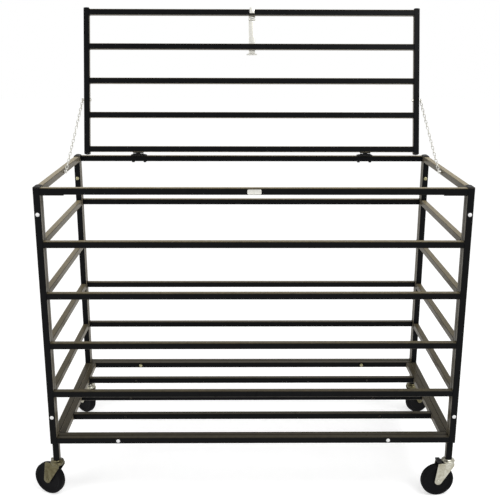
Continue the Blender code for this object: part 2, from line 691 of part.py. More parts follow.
def caster_fork(name, braked, finish, swivel):
    """Pressed crown and yoke with two tapered side plates and the riveted axle."""
    outer = FORK_INNER + FORK_PLATE
    crown = shape(lambda bm: add_turned(bm, [(CROWN_R - 0.002, YOKE_Z), (CROWN_R, YOKE_Z + 0.002),
                                             (CROWN_R + 0.001, CROWN_TOP)], segments=16))
    back = 0.0150 if braked else TRAIL - 0.005
    yoke = shape(lambda bm: add_box(bm, (-0.0150, -outer + 0.0004, YOKE_Z + 0.0002),
                                    (back, outer - 0.0004, YOKE_Z + YOKE_THICK)))
    sides = shape(*[lambda bm, s=s: add_prism(bm, fork_side(), s, s + FORK_PLATE, UPRIGHT)
                    for s in (FORK_INNER, -outer)])
    head = 0.0028
    axle_profile = [(0.0040, -outer - head), (0.0062, -outer - head * 0.5), (0.0065, -outer + 0.0002),
                    (AXLE_R, -outer + 0.0002), (AXLE_R, outer - 0.0002), (0.0065, outer - 0.0002),
                    (0.0062, outer + head * 0.5), (0.0040, outer + head)]
    axle_place = Matrix.Translation((TRAIL, 0, AXLE_Z)) @ UPRIGHT
    axle = shape(lambda bm: add_turned(bm, axle_profile, axle_place, 10))
    bores = [shape(lambda bm: add_cylinder(bm, KINGPIN_R + GAP, (0, 0, YOKE_Z - 0.01),
                                           (0, 0, CROWN_TOP + 0.01)))]
    if braked:
        bores.append(shape(lambda bm: add_cylinder(bm, PEDAL_PIN_R + GAP, (PEDAL_T, -0.03, PEDAL_Z),
                                                   (PEDAL_T, 0.03, PEDAL_Z), 12)))
    return make(name, crown, finish, swivel, [yoke, sides, axle], bores)


def wheel(name, finish, swivel):
    """A solid rubber wheel: crowned tread, dished sides and a hub boss round the bore."""
    bore = AXLE_R + GAP
    half = [(bore, HUB_HALF), (0.0110, HUB_HALF), (0.0120, WHEEL_HALF - 0.0025), (0.0375, WHEEL_HALF - 0.0025),
            (0.0395, WHEEL_HALF), (0.0475, WHEEL_HALF), (WHEEL_R, 0.0060)]
    profile = half + [(r, -y) for r, y in half[::-1]]
    segments = 24

    def build(bm):
        add_loops(bm, [[UPRIGHT @ Vector((r * cos(2 * pi * i / segments), r * sin(2 * pi * i / segments), y))
                        for i in range(segments)] for r, y in profile], closed_ends=False)
    return make(name, shape(build), finish, swivel, place=Matrix.Translation((TRAIL, 0, AXLE_Z)))


def brake_pedal(name, finish, swivel):
    """A toe pedal hung on two stub pins in the fork's side plates, over the wheel."""
    outline = [(-0.0022, -0.0025), (0.0060, -0.0028), (0.0120, 0.0020), (0.0150, 0.0090), (0.0125, 0.0122),
               (0.0012, 0.0112), (0.0006, 0.0052), (-0.0022, 0.0045)]
    tread = shape(lambda bm: add_prism(bm, outline, -0.0125, 0.0125, UPRIGHT))
    barrel = FORK_INNER - 2 * GAP
    sleeve = shape(lambda bm: add_cylinder(bm, 0.0030, (0, -barrel, 0), (0, barrel, 0), 12))
    end = FORK_INNER + FORK_PLATE - GAP
    pins = shape(lambda bm: add_cylinder(bm, PEDAL_PIN_R, (0, -end, 0), (0, end, 0), 12))
    return make(name, tread, finish, swivel, [sleeve, pins],
                place=Matrix.Translation((PEDAL_T, 0, PEDAL_Z)))


def caster(label, finishes, parent):
    side, at_back, heading, braked = CASTERS[label]
    y = END_REAR_Y if at_back else END_FRONT_Y
    foot = Matrix.Translation((side * POST_X, y, 0))
    caster_stem(f"caster_stem_{label}", finishes["zinc"], parent, foot)
    swivel = empty(f"swivel_{label}", parent, foot @ Matrix.Rotation(radians(heading), 4, "Z"))
    caster_fork(f"caster_fork_{label}", braked, finishes["zinc"], swivel)
    wheel(f"caster_wheel_{label}", finishes["rubber"], swivel)
    if braked:
        brake_pedal(f"brake_pedal_{label}", finishes["plastic"], swivel)


def bolts_and_plugs(finishes, parent, lid):
    for face, at_back in (("front", False), ("back", True)):
        y = BACK_Y if at_back else HALF
        end_y = END_REAR_Y if at_back else END_FRONT_Y
        for hand, side in (("left", -1), ("right", 1)):
            x = side * POST_X
            for level, z in zip(("top", "low"), bolt_heights()):
                panel_bolt(f"panel_bolt_{face}_{hand}_{level}", x, z, at_back, finishes["zinc"], parent)
            panel_bolt(f"floor_bolt_{face}_{hand}", side * FLOOR_BOLT_X, rail_heights()[-1], at_back,
                       finishes["zinc"], parent)
            tube_plug(f"post_plug_{face}_{hand}", Matrix.Translation((x, y, FRAME_TOP)),
                      finishes["plastic"], parent)
            tube_plug(f"leg_plug_{face}_{hand}", Matrix.Translation((x, end_y, FRAME_TOP)),
                      finishes["plastic"], parent)
    for hand, side in (("left", -1), ("right", 1)):
        x = side * (LID_WIDTH / 2 - HALF)
        for end, y, turn in (("front", -LID_FRONT, pi / 2), ("rear", -SIDE_TUBE_REAR, -pi / 2)):
            place = Matrix.Translation((x, y, LID_MID_Z)) @ Matrix.Rotation(turn, 4, "X")
            tube_plug(f"lid_plug_{end}_{hand}", place, finishes["plastic"], lid)


def bounds():
    """Lowest and highest corner of everything that shows, with its modifiers applied."""
    bpy.context.view_layer.update()
    graph = bpy.context.evaluated_depsgraph_get()
    points = [made.evaluated_get(graph).matrix_world @ vertex.co
              for made in bpy.context.scene.objects if made.type == "MESH" and not made.hide_render
              for vertex in made.evaluated_get(graph).data.vertices]
    return [[pick(point[i] for point in points) for i in range(3)] for pick in (min, max)]


def print_joints(locker):
    """The joint places in world space, for whoever rigs the model."""
    base = locker.matrix_world
    numbers = chain_numbers()
    swing = radians(LID_OPEN)
    print("origin shift", [round(v, 6) for v in base.translation])
    spots = {"lid_hinge": (0, HINGE_Y, HINGE_Z), "hasp_hinge": (0, *lid_point(HASP_OUT, 0))}
    for label, side in (("left", -1), ("right", 1)):
        spots[f"chain_lower_{label}"] = (side * CHAIN_X_BASE, *numbers["base"])
        spots[f"chain_upper_{label}"] = (side * CHAIN_X_LID, *numbers["lid"])
    for label, (side, at_back, heading, braked) in CASTERS.items():
        y = END_REAR_Y if at_back else END_FRONT_Y
        a = radians(heading)
        spots[f"swivel_{label}"] = (side * POST_X, y, 0)
        spots[f"wheel_{label}"] = (side * POST_X + TRAIL * cos(a), y + TRAIL * sin(a), AXLE_Z)
        if braked:
            spots[f"brake_{label}"] = (side * POST_X + PEDAL_T * cos(a), y + PEDAL_T * sin(a), PEDAL_Z)
        print(f"axle axis {label}", round(-sin(a), 6), round(cos(a), 6))
    for name, spot in spots.items():
        print("joint", name, [round(v, 6) for v in base @ Vector(spot)])
    print("chain turns", round(numbers["lower_turn"], 3), round(numbers["upper_turn"], 3),
          "pitch", round(numbers["pitch"], 5), "strap swing", strap_swing(), "lid", round(degrees(swing), 1))


def main():
    for old in list(bpy.data.objects):
        bpy.data.objects.remove(old, do_unlink=True)
    finishes = {
        "tube": material("black_powder_coat", (20, 21, 23), 0.42),
        "zinc": material("zinc_plate", (176, 172, 156), 0.34, 1.0),
        "black_steel": material("black_hinge", (18, 18, 19), 0.38),
        "rubber": material("black_rubber", (22, 22, 23), 0.72),
        "plastic": material("black_plastic", (24, 24, 25), 0.5),
    }
    tube = finishes["tube"]
    locker = empty("locker", None)
    lid_place = Matrix.Translation((0, HINGE_Y, HINGE_Z)) @ Matrix.Rotation(radians(-LID_OPEN), 4, "X")
    lid = empty("lid", locker, lid_place)
    hinge_holes = shape(*[lambda bm, x=h * HINGE_X + s * HINGE_BOLT_X: add_cylinder(
        bm, ANCHOR_SHANK_R + BOLT_CLEARANCE, (x, BACK_Y, FRAME_TOP - 2 * TUBE), (x, BACK_Y, FRAME_TOP + TUBE), 8)
        for h in (-1, 1) for s in (-1, 1)])
    long_panel("front_panel", HALF, tube, locker, extra=[lid_rests()])
    long_panel("back_panel", BACK_Y, tube, locker, extra_cut=[hinge_holes])
    end_panel(-1, tube, locker)
    end_panel(1, tube, locker)
    floor_grid(tube, locker)
    lid_frame(tube, lid)
    for hand, side in (("left", -1), ("right", 1)):
        hinge_base(f"hinge_base_{hand}", side * HINGE_X, finishes["black_steel"], locker)
        hinge_leaf(f"hinge_leaf_{hand}", side * HINGE_X, finishes["black_steel"], lid)
        stay(side, hand, finishes, locker, lid)
    hasp_leaf(finishes["zinc"], lid)
    hasp_strap(finishes["zinc"], lid)
    strike_plate(finishes["zinc"], locker)
    bolts_and_plugs(finishes, locker, lid)
    for label in CASTERS:
        caster(label, finishes, locker)
    low, high = bounds()
    locker.location = (-(low[0] + high[0]) / 2, -(low[1] + high[1]) / 2, -low[2])
    bpy.context.view_layer.update()
    print_joints(locker)


main()
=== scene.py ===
"""Studio scene for the rolling ball locker.

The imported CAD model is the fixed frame. Its tube panels keep their shape and get a powder
coat. The plugs, bolts, hinges, hasp, chains and casters are rebuilt here with finer shapes, in
the same places, and the panels get the ripples of their welds. Sizes are in metres.
"""

from __future__ import annotations

import json
import logging
from collections.abc import Callable, Sequence
from dataclasses import dataclass
from enum import Enum
from math import atan2, cos, hypot, pi, radians, sin

import bmesh
import bpy
from mathutils import Matrix, Vector

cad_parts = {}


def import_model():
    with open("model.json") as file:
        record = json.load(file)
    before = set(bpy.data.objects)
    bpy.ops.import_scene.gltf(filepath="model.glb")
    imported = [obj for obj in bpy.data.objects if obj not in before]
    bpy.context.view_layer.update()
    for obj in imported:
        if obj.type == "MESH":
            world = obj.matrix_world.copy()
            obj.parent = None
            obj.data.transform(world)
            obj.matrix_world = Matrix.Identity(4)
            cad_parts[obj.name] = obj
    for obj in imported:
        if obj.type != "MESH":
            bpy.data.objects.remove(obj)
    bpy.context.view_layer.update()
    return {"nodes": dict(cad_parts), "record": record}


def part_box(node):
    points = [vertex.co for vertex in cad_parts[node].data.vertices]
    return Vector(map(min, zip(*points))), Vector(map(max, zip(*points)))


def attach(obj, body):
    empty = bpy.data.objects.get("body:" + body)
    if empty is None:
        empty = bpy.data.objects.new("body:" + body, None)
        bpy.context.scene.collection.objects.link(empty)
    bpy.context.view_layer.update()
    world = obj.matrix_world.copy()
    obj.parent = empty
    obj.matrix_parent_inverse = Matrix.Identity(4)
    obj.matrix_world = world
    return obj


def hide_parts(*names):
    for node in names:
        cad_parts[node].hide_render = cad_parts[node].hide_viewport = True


LOG = logging.getLogger("ball_locker")
GAP = 0.0003  # between pieces that touch in the real locker
TUBE = 0.01905  # the square tube's outside
HALF = TUBE / 2
WALL = 0.0015  # the tube's wall
# Turn a piece's own Z along X, and along -Y.
ACROSS = Matrix(((0, 0, 1, 0), (1, 0, 0, 0), (0, 1, 0, 0), (0, 0, 0, 1)))
UPRIGHT = Matrix(((1, 0, 0, 0), (0, 0, -1, 0), (0, 1, 0, 0), (0, 0, 0, 1)))

Point = tuple[float, float]
Colour = tuple[float, float, float]
Values = dict[str | int, object]
BMesh = bmesh.types.BMesh
Builder = Callable[[BMesh], None]
Material, Node, Object = bpy.types.Material, bpy.types.Node, bpy.types.Object
Socket, Tree, Outputs = bpy.types.NodeSocket, bpy.types.NodeTree, bpy.types.bpy_prop_collection


class Side(Enum):
    """The two sides of the locker, seen from the front."""

    LEFT = -1
    RIGHT = 1

    @property
    def word(self) -> str:
        """The side as it is written in a node name."""
        return self.name.lower()


class Body(str, Enum):
    """The CAD bodies that hold more than one piece."""

    FRAME = "frame"
    LID = "lid"
    STRAP = "hasp_strap"


# Node trees


def put(node: Node, values: Values) -> None:
    """Set a node's inputs, each to a constant or linked to an output of another node."""
    for label, value in values.items():
        socket = node.inputs[label]
        if isinstance(value, Socket):
            node.id_data.links.new(value, socket)
        else:
            socket.default_value = value


def add(tree: Tree, kind: str, values: Values | None = None, **settings: object) -> Outputs:
    """Add a node to a tree.

    Args:
        tree: The tree.
        kind: The node's type.
        values: What its inputs take.
        settings: Its own settings.

    Returns:
        The node's outputs.
    """
    node = tree.nodes.new(kind)
    for label, value in settings.items():
        setattr(node, label, value)
    put(node, values or {})
    return node.outputs


def maths(tree: Tree, operation: str, *values: Socket | float, clamp: bool = False) -> Socket:
    """Add a node that calculates, and return its result."""
    return add(tree, "ShaderNodeMath", dict(enumerate(values)), operation=operation, use_clamp=clamp)[0]


def open_tree(name: str, kind: str, inputs: dict[str, object], outputs: dict[str, str]) -> tuple[Tree, Outputs, Node]:
    """Create an empty tree with its sockets.

    Args:
        name: Name of the tree.
        kind: "Shader" or "Geometry".
        inputs: The default of each input, or its type in a word where it has none.
        outputs: The type of each output.

    Returns:
        The tree, what it is given, and its output node.
    """
    tree = bpy.data.node_groups.new(name, f"{kind}NodeTree")
    words = {float: "Float", int: "Int", tuple: "Color"}
    for label, default in inputs.items():
        word = words.get(type(default), default)
        socket = tree.interface.new_socket(label, in_out="INPUT", socket_type=f"NodeSocket{word}")
        if word != default:
            socket.default_value = default
    for label, word in outputs.items():
        tree.interface.new_socket(label, in_out="OUTPUT", socket_type=f"NodeSocket{word}")
    return tree, add(tree, "NodeGroupInput"), tree.nodes.new("NodeGroupOutput")


class GroupKit:
    """The shader node groups that the materials share, each built once."""

    def __init__(self) -> None:
        """Build the four groups."""
        self.mottle = self._mottle()
        self.peel = self._peel()
        self.settled_dust = self._settled_dust()
        self.scuffs = self._scuffs()

    def _mottle(self) -> Tree:
        """Build two octaves of soft noise between two colours.

        Returns:
            A group with a Color and a Mask output.
        """
        tree, given, sink = open_tree(
            "mottle", "Shader", {"Vector": "Vector", "Scale": 40.0, "Contrast": 1.5, "Color A": (0.0, 0.0, 0.0, 1.0),
                                 "Color B": (1.0, 1.0, 1.0, 1.0)}, {"Color": "Color", "Mask": "Float"})
        noise = add(tree, "ShaderNodeTexNoise", {"Vector": given["Vector"], "Scale": given["Scale"], "Detail": 4.0,
                                                 "Roughness": 0.62})
        middle = maths(tree, "SUBTRACT", noise[0], 0.5)
        mask = maths(tree, "MULTIPLY_ADD", middle, given["Contrast"], 0.5, clamp=True)
        mix = add(tree, "ShaderNodeMix", {0: mask, 6: given["Color A"], 7: given["Color B"]}, data_type="RGBA")
        put(sink, {"Color": mix[2], "Mask": mask})
        return tree

    def _peel(self) -> Tree:
        """Build the low ripple of sprayed or plated metal.

        Returns:
            A group with a Height output.
        """
        tree, given, sink = open_tree("peel", "Shader", {"Vector": "Vector", "Scale": 900.0, "Fine": 0.3},
                                      {"Height": "Float"})
        place, scale = given["Vector"], given["Scale"]
        cells = add(tree, "ShaderNodeTexVoronoi", {"Vector": place, "Scale": scale}, feature="SMOOTH_F1")
        grain = add(tree, "ShaderNodeTexNoise", {"Vector": place, "Scale": maths(tree, "MULTIPLY", scale, 2.7),
                                                 "Detail": 2.0})
        put(sink, {"Height": maths(tree, "MULTIPLY_ADD", grain[0], given["Fine"], cells["Distance"])})
        return tree

    def _settled_dust(self) -> Tree:
        """Build a mask of dust and painted top light on faces that look up, thinner low down as painted shade.

        Returns:
            A group with a Mask output.
        """
        tree, given, sink = open_tree("settled_dust", "Shader", {"Vector": "Vector", "Scale": 60.0, "Amount": 0.3},
                                      {"Mask": "Float"})
        facing = add(tree, "ShaderNodeSeparateXYZ", {0: add(tree, "ShaderNodeNewGeometry")["Normal"]})
        height = add(tree, "ShaderNodeSeparateXYZ", {0: given["Vector"]})
        # Faces that look up get the mask: some dust, and painted light where the top faces are lit.
        level = add(tree, "ShaderNodeMapRange", {"Value": facing["Z"], "From Min": 0.55, "From Max": 0.98})
        # Less of the mask low down: painted shade on the lower tubes.
        painted_shade_low_down = add(tree, "ShaderNodeMapRange", {"Value": height["Z"], "From Min": 0.15, "From Max": 0.95,
                                                  "To Min": 0.12})
        noise = add(tree, "ShaderNodeTexNoise", {"Vector": given["Vector"], "Scale": given["Scale"], "Detail": 6.0,
                                                 "Roughness": 0.7})
        patchy = maths(tree, "MULTIPLY", level["Result"], noise[0])
        lying = maths(tree, "MULTIPLY", patchy, painted_shade_low_down["Result"])
        put(sink, {"Mask": maths(tree, "MULTIPLY", lying, given["Amount"], clamp=True)})
        return tree

    def _scuffs(self) -> Tree:
        """Build a mask of thin rubbed marks from stretched noise.

        Returns:
            A group with a Mask output.
        """
        tree, given, sink = open_tree("scuffs", "Shader", {"Vector": "Vector", "Scale": 120.0, "Threshold": 0.62},
                                      {"Mask": "Float"})
        squash = add(tree, "ShaderNodeMapping", {"Vector": given["Vector"], "Rotation": (0.5, 0.2, 0.35),
                                                 "Scale": (1.0, 0.18, 0.6)})
        noise = add(tree, "ShaderNodeTexNoise", {"Vector": squash[0], "Scale": given["Scale"], "Detail": 5.0,
                                                 "Roughness": 0.75})
        low = given["Threshold"]
        ramp = add(tree, "ShaderNodeMapRange", {"Value": noise[0], "From Min": low,
                                                "From Max": maths(tree, "ADD", low, 0.06)})
        put(sink, {"Mask": ramp["Result"]})
        return tree


def linear(red: float, green: float, blue: float) -> tuple[float, float, float, float]:
    """Turn an sRGB colour from 0 to 255 into the linear colour that a shader takes.

    Args:
        red: Red channel.
        green: Green channel.
        blue: Blue channel.

    Returns:
        The linear colour with full alpha.
    """
    values = [c / 255 for c in (red, green, blue)]
    return (*(v / 12.92 if v <= 0.04045 else ((v + 0.055) / 1.055) ** 2.4 for v in values), 1.0)


@dataclass(frozen=True)
class Finish:
    """A surface: two close colours, a ripple, dust and painted top light, a grazing haze and rubbed marks."""

    name: str
    slot: str
    base: Colour
    second: Colour
    roughness: float
    roughness_spread: float = 0.06
    metallic: float = 0.0
    mottle_scale: float = 40.0
    contrast: float = 1.6
    peel_scale: float = 700.0
    peel_depth: float = 0.00002
    peel_fine: float = 0.3
    # Dust with painted light on faces that look up, thinning low down as painted shade, and its colour.
    dust: float = 0.0
    dust_rgb: Colour = (150, 138, 116)
    scuff: float = 0.0
    scuff_rgb: Colour = (70, 70, 68)
    specular: float = 0.5
    sheen: float = 0.0
    sheen_rgb: Colour = (255, 255, 255)
    sheen_roughness: float = 0.3
    bump: float = 0.6

    def build(self, kit: GroupKit) -> Material:
        """Build the material.

        Args:
            kit: The shared shader groups.

        Returns:
            The finished material.
        """
        made = bpy.data.materials.new(self.name)
        made.use_nodes = True
        tree = made.node_tree
        place = add(tree, "ShaderNodeTexCoord")["Object"]

        def group(shared: Tree, values: Values) -> Outputs:
            """Place one shared group in the material."""
            return add(tree, "ShaderNodeGroup", {"Vector": place, **values}, node_tree=shared)

        mottle = group(kit.mottle, {"Scale": self.mottle_scale, "Contrast": self.contrast,
                                    "Color A": linear(*self.base), "Color B": linear(*self.second)})
        colour = mottle["Color"]
        if self.scuff:
            marks = group(kit.scuffs, {"Scale": 90.0, "Threshold": 0.60})
            colour = self._over(tree, colour, self.scuff_rgb, marks["Mask"], self.scuff)
        # Dust and painted light on faces that look up, with less of it low down as painted shade.
        if self.dust:
            dust_and_light_film = group(kit.settled_dust, {"Scale": 70.0, "Amount": self.dust})
            colour = self._over(tree, colour, self.dust_rgb, dust_and_light_film["Mask"], 1.0)
        rough = add(tree, "ShaderNodeMapRange", {
            "Value": mottle["Mask"], "To Min": self.roughness - self.roughness_spread,
            "To Max": self.roughness + self.roughness_spread})
        ripple = group(kit.peel, {"Scale": self.peel_scale, "Fine": self.peel_fine})
        bump = add(tree, "ShaderNodeBump", {"Strength": self.bump, "Distance": self.peel_depth,
                                            "Height": ripple["Height"]})
        put(tree.nodes["Principled BSDF"], {
            "Base Color": colour, "Metallic": self.metallic, "Roughness": rough["Result"], "Normal": bump["Normal"],
            "Specular IOR Level": self.specular, "Sheen Weight": self.sheen, "Sheen Roughness": self.sheen_roughness,
            "Sheen Tint": linear(*self.sheen_rgb)})
        return made

    @staticmethod
    def _over(tree: Tree, under: Socket, rgb: Colour, mask: Socket, strength: float) -> Socket:
        """Lay one colour over another through a mask.

        Args:
            tree: The material's tree.
            under: The colour below.
            rgb: The colour on top, in sRGB.
            mask: Where it lies.
            strength: How much of it shows at most.

        Returns:
            The mixed colour.
        """
        share = maths(tree, "MULTIPLY", mask, strength)
        return add(tree, "ShaderNodeMix", {0: share, 6: under, 7: linear(*rgb)}, data_type="RGBA")[2]


# The beige on the tubes' upward faces is mostly painted light of lit tops, with some dust; its thinning low down is
# painted shade.
POWDER_COAT = Finish("powder_coat", "tube", (9, 10, 12), (14, 15, 17), 0.30, 0.05, dust=0.85,
                     dust_rgb=(150, 134, 92), peel_scale=650.0, peel_depth=0.00003, scuff=0.10,
                     scuff_rgb=(40, 40, 40), specular=0.05, sheen=0.75, sheen_rgb=(240, 224, 190))
WELD = Finish("coated_weld", "tube", (9, 10, 12), (16, 16, 18), 0.36, 0.06, peel_scale=1500.0,
              peel_depth=0.00003, specular=0.06)
HINGE_BLACK = Finish("hinge_black", "hinge", (14, 14, 15), (22, 21, 21), 0.34, 0.06, dust=0.03,
                     peel_scale=900.0, scuff=0.25, scuff_rgb=(80, 78, 74), specular=0.18)
PLATED = {"peel_scale": 420.0, "peel_depth": 0.000012}
ZINC = Finish("zinc_plate", "zinc", (226, 225, 220), (200, 198, 188), 0.27, 0.07, 1.0, 160.0, 2.4, scuff=0.2,
              scuff_rgb=(160, 157, 148), **PLATED)
PASSIVATED = Finish("passivated_zinc", "zinc", (108, 103, 80), (74, 68, 47), 0.30, 0.08, 1.0, 70.0, 2.2, scuff=0.25,
                    scuff_rgb=(66, 60, 42), **PLATED)
BRIGHT_FORK = Finish("bright_fork", "zinc", (196, 195, 184), (132, 126, 104), 0.30, 0.08, 1.0, 60.0, 2.0,
                     scuff=0.25, scuff_rgb=(98, 90, 68), **PLATED)
BOLT_ZINC = Finish("bolt_zinc", "zinc", (190, 186, 156), (122, 114, 76), 0.32, 0.08, 1.0, 260.0, 2.6, scuff=0.2,
                   scuff_rgb=(104, 92, 56), **PLATED)
# A darker plating for the bolt faces inside the cage: painted shade.
NUT_PAINTED_SHADE = Finish("dull_nut", "zinc", (58, 58, 55), (38, 38, 36), 0.42, 0.08, 0.6, 260.0, scuff=0.2,
                  scuff_rgb=(92, 90, 82), specular=0.2, **PLATED)
RUBBER = Finish("wheel_rubber", "wheel", (12, 12, 14), (18, 18, 19), 0.66, 0.08, mottle_scale=90.0,
                peel_scale=1500.0, peel_depth=0.00004, dust=0.06, scuff=0.3, scuff_rgb=(34, 33, 32), specular=0.06)
MOULDED = Finish("moulded_black", "plastic", (16, 16, 17), (23, 23, 24), 0.46, 0.06, mottle_scale=60.0,
                 peel_scale=2200.0, peel_depth=0.00002, dust=0.04, specular=0.22)


class Paint:
    """The finished materials, each built once."""

    def __init__(self) -> None:
        """Start with no materials and an empty group kit."""
        self._kit = GroupKit()
        self._made: dict[str, Material] = {}

    def get(self, finish: Finish) -> Material:
        """Return the material of a finish, building it the first time."""
        if finish.name not in self._made:
            self._made[finish.name] = finish.build(self._kit)
        return self._made[finish.name]

    def finish(self, obj: Object, finish: Finish, body: str, *nodes: str, angle: float = 40.0) -> None:
        """Give a piece its material, smooth shading, body and the nodes that it stands for.

        Args:
            obj: The piece.
            finish: Its finish, which also says the record's material slot.
            body: The CAD body that it moves with.
            nodes: CAD nodes that it replaces.
            angle: Edges sharper than this, in degrees, stay sharp.
        """
        material = self.get(finish)
        if material.name not in [m.name for m in obj.data.materials if m]:
            obj.data.materials.append(material)
        obj.data.shade_smooth()
        obj.data.set_sharp_from_angle(angle=radians(angle))
        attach(obj, body)
        if nodes:
            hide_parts(*nodes)
        LOG.info("%s rides on %s, %d faces", obj.name, body, len(obj.data.polygons))


# Mesh tools


def skin(bm: BMesh, loops: Sequence[Sequence[Vector]], capped: bool = True) -> None:
    """Join equal loops of points in order.

    Args:
        bm: Where the faces go.
        loops: The loops.
        capped: Close both ends, or else join the last loop to the first.
    """
    rings = [[bm.verts.new(point) for point in loop] for loop in loops]
    count = len(rings[0])
    pairs = list(zip(rings, rings[1:])) + ([] if capped else [(rings[-1], rings[0])])
    for low, high in pairs:
        for i in range(count):
            j = (i + 1) % count
            bm.faces.new((low[i], low[j], high[j], high[i]))
    if capped:
        bm.faces.new(rings[0][::-1])
        bm.faces.new(rings[-1])


def prism(outline: Sequence[Point], low: float, high: float, place: Matrix = Matrix()) -> Builder:
    """Extrude an outline along its own Z.

    Args:
        outline: The outline's points.
        low: Where it starts.
        high: Where it ends.
        place: Matrix for every point.

    Returns:
        A builder that adds the prism to a bmesh.
    """
    def build(bm: BMesh) -> None:
        """Add the prism."""
        skin(bm, [[place @ Vector((u, v, z)) for u, v in outline] for z in (low, high)])
    return build


def block(low: Sequence[float], high: Sequence[float], place: Matrix = Matrix()) -> Builder:
    """Return a builder for a box between two corners."""
    outline = [(low[0], low[1]), (high[0], low[1]), (high[0], high[1]), (low[0], high[1])]
    return prism(outline, low[2], high[2], place)


def turned(profile: Sequence[Point], place: Matrix = Matrix(), segments: int = 32, hollow: bool = False) -> Builder:
    """Turn a profile of radius and height round its own Z.

    Args:
        profile: The profile's points.
        place: Matrix for every point.
        segments: Steps in a full turn.
        hollow: Join the last ring to the first, for a ring with a bore.

    Returns:
        A builder that adds the turned piece to a bmesh.
    """
    def build(bm: BMesh) -> None:
        """Add the turned piece."""
        turns = [2 * pi * i / segments for i in range(segments)]
        skin(bm, [[place @ Vector((r * cos(a), r * sin(a), z)) for a in turns] for r, z in profile],
             capped=not hollow)
    return build


def rod(radius: float, start: Sequence[float], end: Sequence[float], segments: int = 24,
        edge: float = 0.0) -> Builder:
    """Make a round bar with lightly broken edges.

    Args:
        radius: Its radius.
        start: Middle of one end.
        end: Middle of the other end.
        segments: Steps in a full turn.
        edge: Size of the broken edges.

    Returns:
        A builder that adds the bar to a bmesh.
    """
    a, b = Vector(start), Vector(end)
    place = Matrix.Translation(a) @ (b - a).to_track_quat("Z", "Y").to_matrix().to_4x4()
    length = (b - a).length
    profile = [(radius - edge, 0), (radius, edge), (radius, length - edge), (radius - edge, length)]
    return turned(profile if edge else [(radius, 0), (radius, length)], place, segments)


def hex_nut(radius: float, low: float, high: float, place: Matrix = Matrix()) -> Builder:
    """Return a builder for a hexagon nut with chamfered corners."""
    cut = radius * 0.10
    profile = [(radius - cut, low), (radius, low + cut * 0.7), (radius, high - cut * 0.7), (radius - cut, high)]
    return turned(profile, place, 6)


def rounded_plate(half_x: float, half_y: float, radius: float, steps: int = 5) -> list[Point]:
    """Return the outline of a rectangle with round corners."""
    return [(x * (half_x - radius) + radius * cos(radians(a)), y * (half_y - radius) + radius * sin(radians(a)))
            for x, y, start in ((1, 1, 0), (-1, 1, 90), (-1, -1, 180), (1, -1, 270))
            for a in (start + 90 * k / steps for k in range(steps + 1))]


def rounded_square(half: float, radius: float, steps: int = 4) -> list[Point]:
    """Return the outline of a square with round corners."""
    return rounded_plate(half, half, radius, steps)


def placed(name: str, data: bpy.types.ID, place: Matrix = Matrix()) -> Object:
    """Return a new object in the scene."""
    made = bpy.data.objects.new(name, data)
    made.matrix_world = place
    bpy.context.scene.collection.objects.link(made)
    return made


def mesh_object(name: str, builders: Sequence[Builder], place: Matrix = Matrix()) -> Object:
    """Make an object at the origin with its place in its mesh.

    Args:
        name: The object's name.
        builders: What it is made of.
        place: Matrix for the whole mesh.

    Returns:
        The object, linked to the scene.
    """
    bm = bmesh.new()
    for build in builders:
        build(bm)
    bmesh.ops.transform(bm, matrix=place, verts=bm.verts)
    bmesh.ops.recalc_face_normals(bm, faces=bm.faces)
    mesh = bpy.data.meshes.new(name)
    bm.to_mesh(mesh)
    bm.free()
    return placed(name, mesh)


def merged(first: Object, second: Object, place: Matrix = Matrix()) -> Object:
    """Put two objects' meshes together and move the whole.

    Args:
        first: The object that stays.
        second: The object whose mesh is added, and which is removed.
        place: Matrix for the whole mesh.

    Returns:
        The first object.
    """
    bm = bmesh.new()
    bm.from_mesh(first.data)
    bm.from_mesh(second.data)
    bmesh.ops.transform(bm, matrix=place, verts=bm.verts)
    bm.to_mesh(first.data)
    bm.free()
    bpy.data.objects.remove(second, do_unlink=True)
    return first


def settled(obj: Object) -> Object:
    """Turn an object's evaluated shape into its plain mesh.

    Args:
        obj: An object with modifiers.

    Returns:
        The same object, with no modifiers left.
    """
    bpy.context.view_layer.update()
    graph = bpy.context.evaluated_depsgraph_get()
    mesh = bpy.data.meshes.new_from_object(obj.evaluated_get(graph), depsgraph=graph)
    obj.modifiers.clear()
    obj.data = mesh
    return obj


def softened(obj: Object, width: float = 0.0003, segments: int = 2, limit: float = 44.0) -> Object:
    """Break the sharp edges of a piece with a small bevel and keep it as a plain mesh.

    Args:
        obj: The piece.
        width: Width of the bevel.
        segments: Steps across it.
        limit: Edges sharper than this, in degrees, are broken.

    Returns:
        The same object.
    """
    step = obj.modifiers.new("broken_edges", "BEVEL")
    step.width = width
    step.segments = segments
    step.limit_method = "ANGLE"
    step.angle_limit = radians(limit)
    step.use_clamp_overlap = True
    return settled(obj)


def drilled(obj: Object, cutters: Sequence[Builder]) -> Object:
    """Cut shapes out of a piece and keep it as a plain mesh.

    Args:
        obj: The piece.
        cutters: What is cut out.

    Returns:
        The same object.
    """
    tool = mesh_object(f"{obj.name}_drill", cutters)
    step = obj.modifiers.new("holes", "BOOLEAN")
    step.operation = "DIFFERENCE"
    step.solver = "EXACT"
    step.object = tool
    settled(obj)
    bpy.data.objects.remove(tool, do_unlink=True)
    return obj


# Geometry Nodes


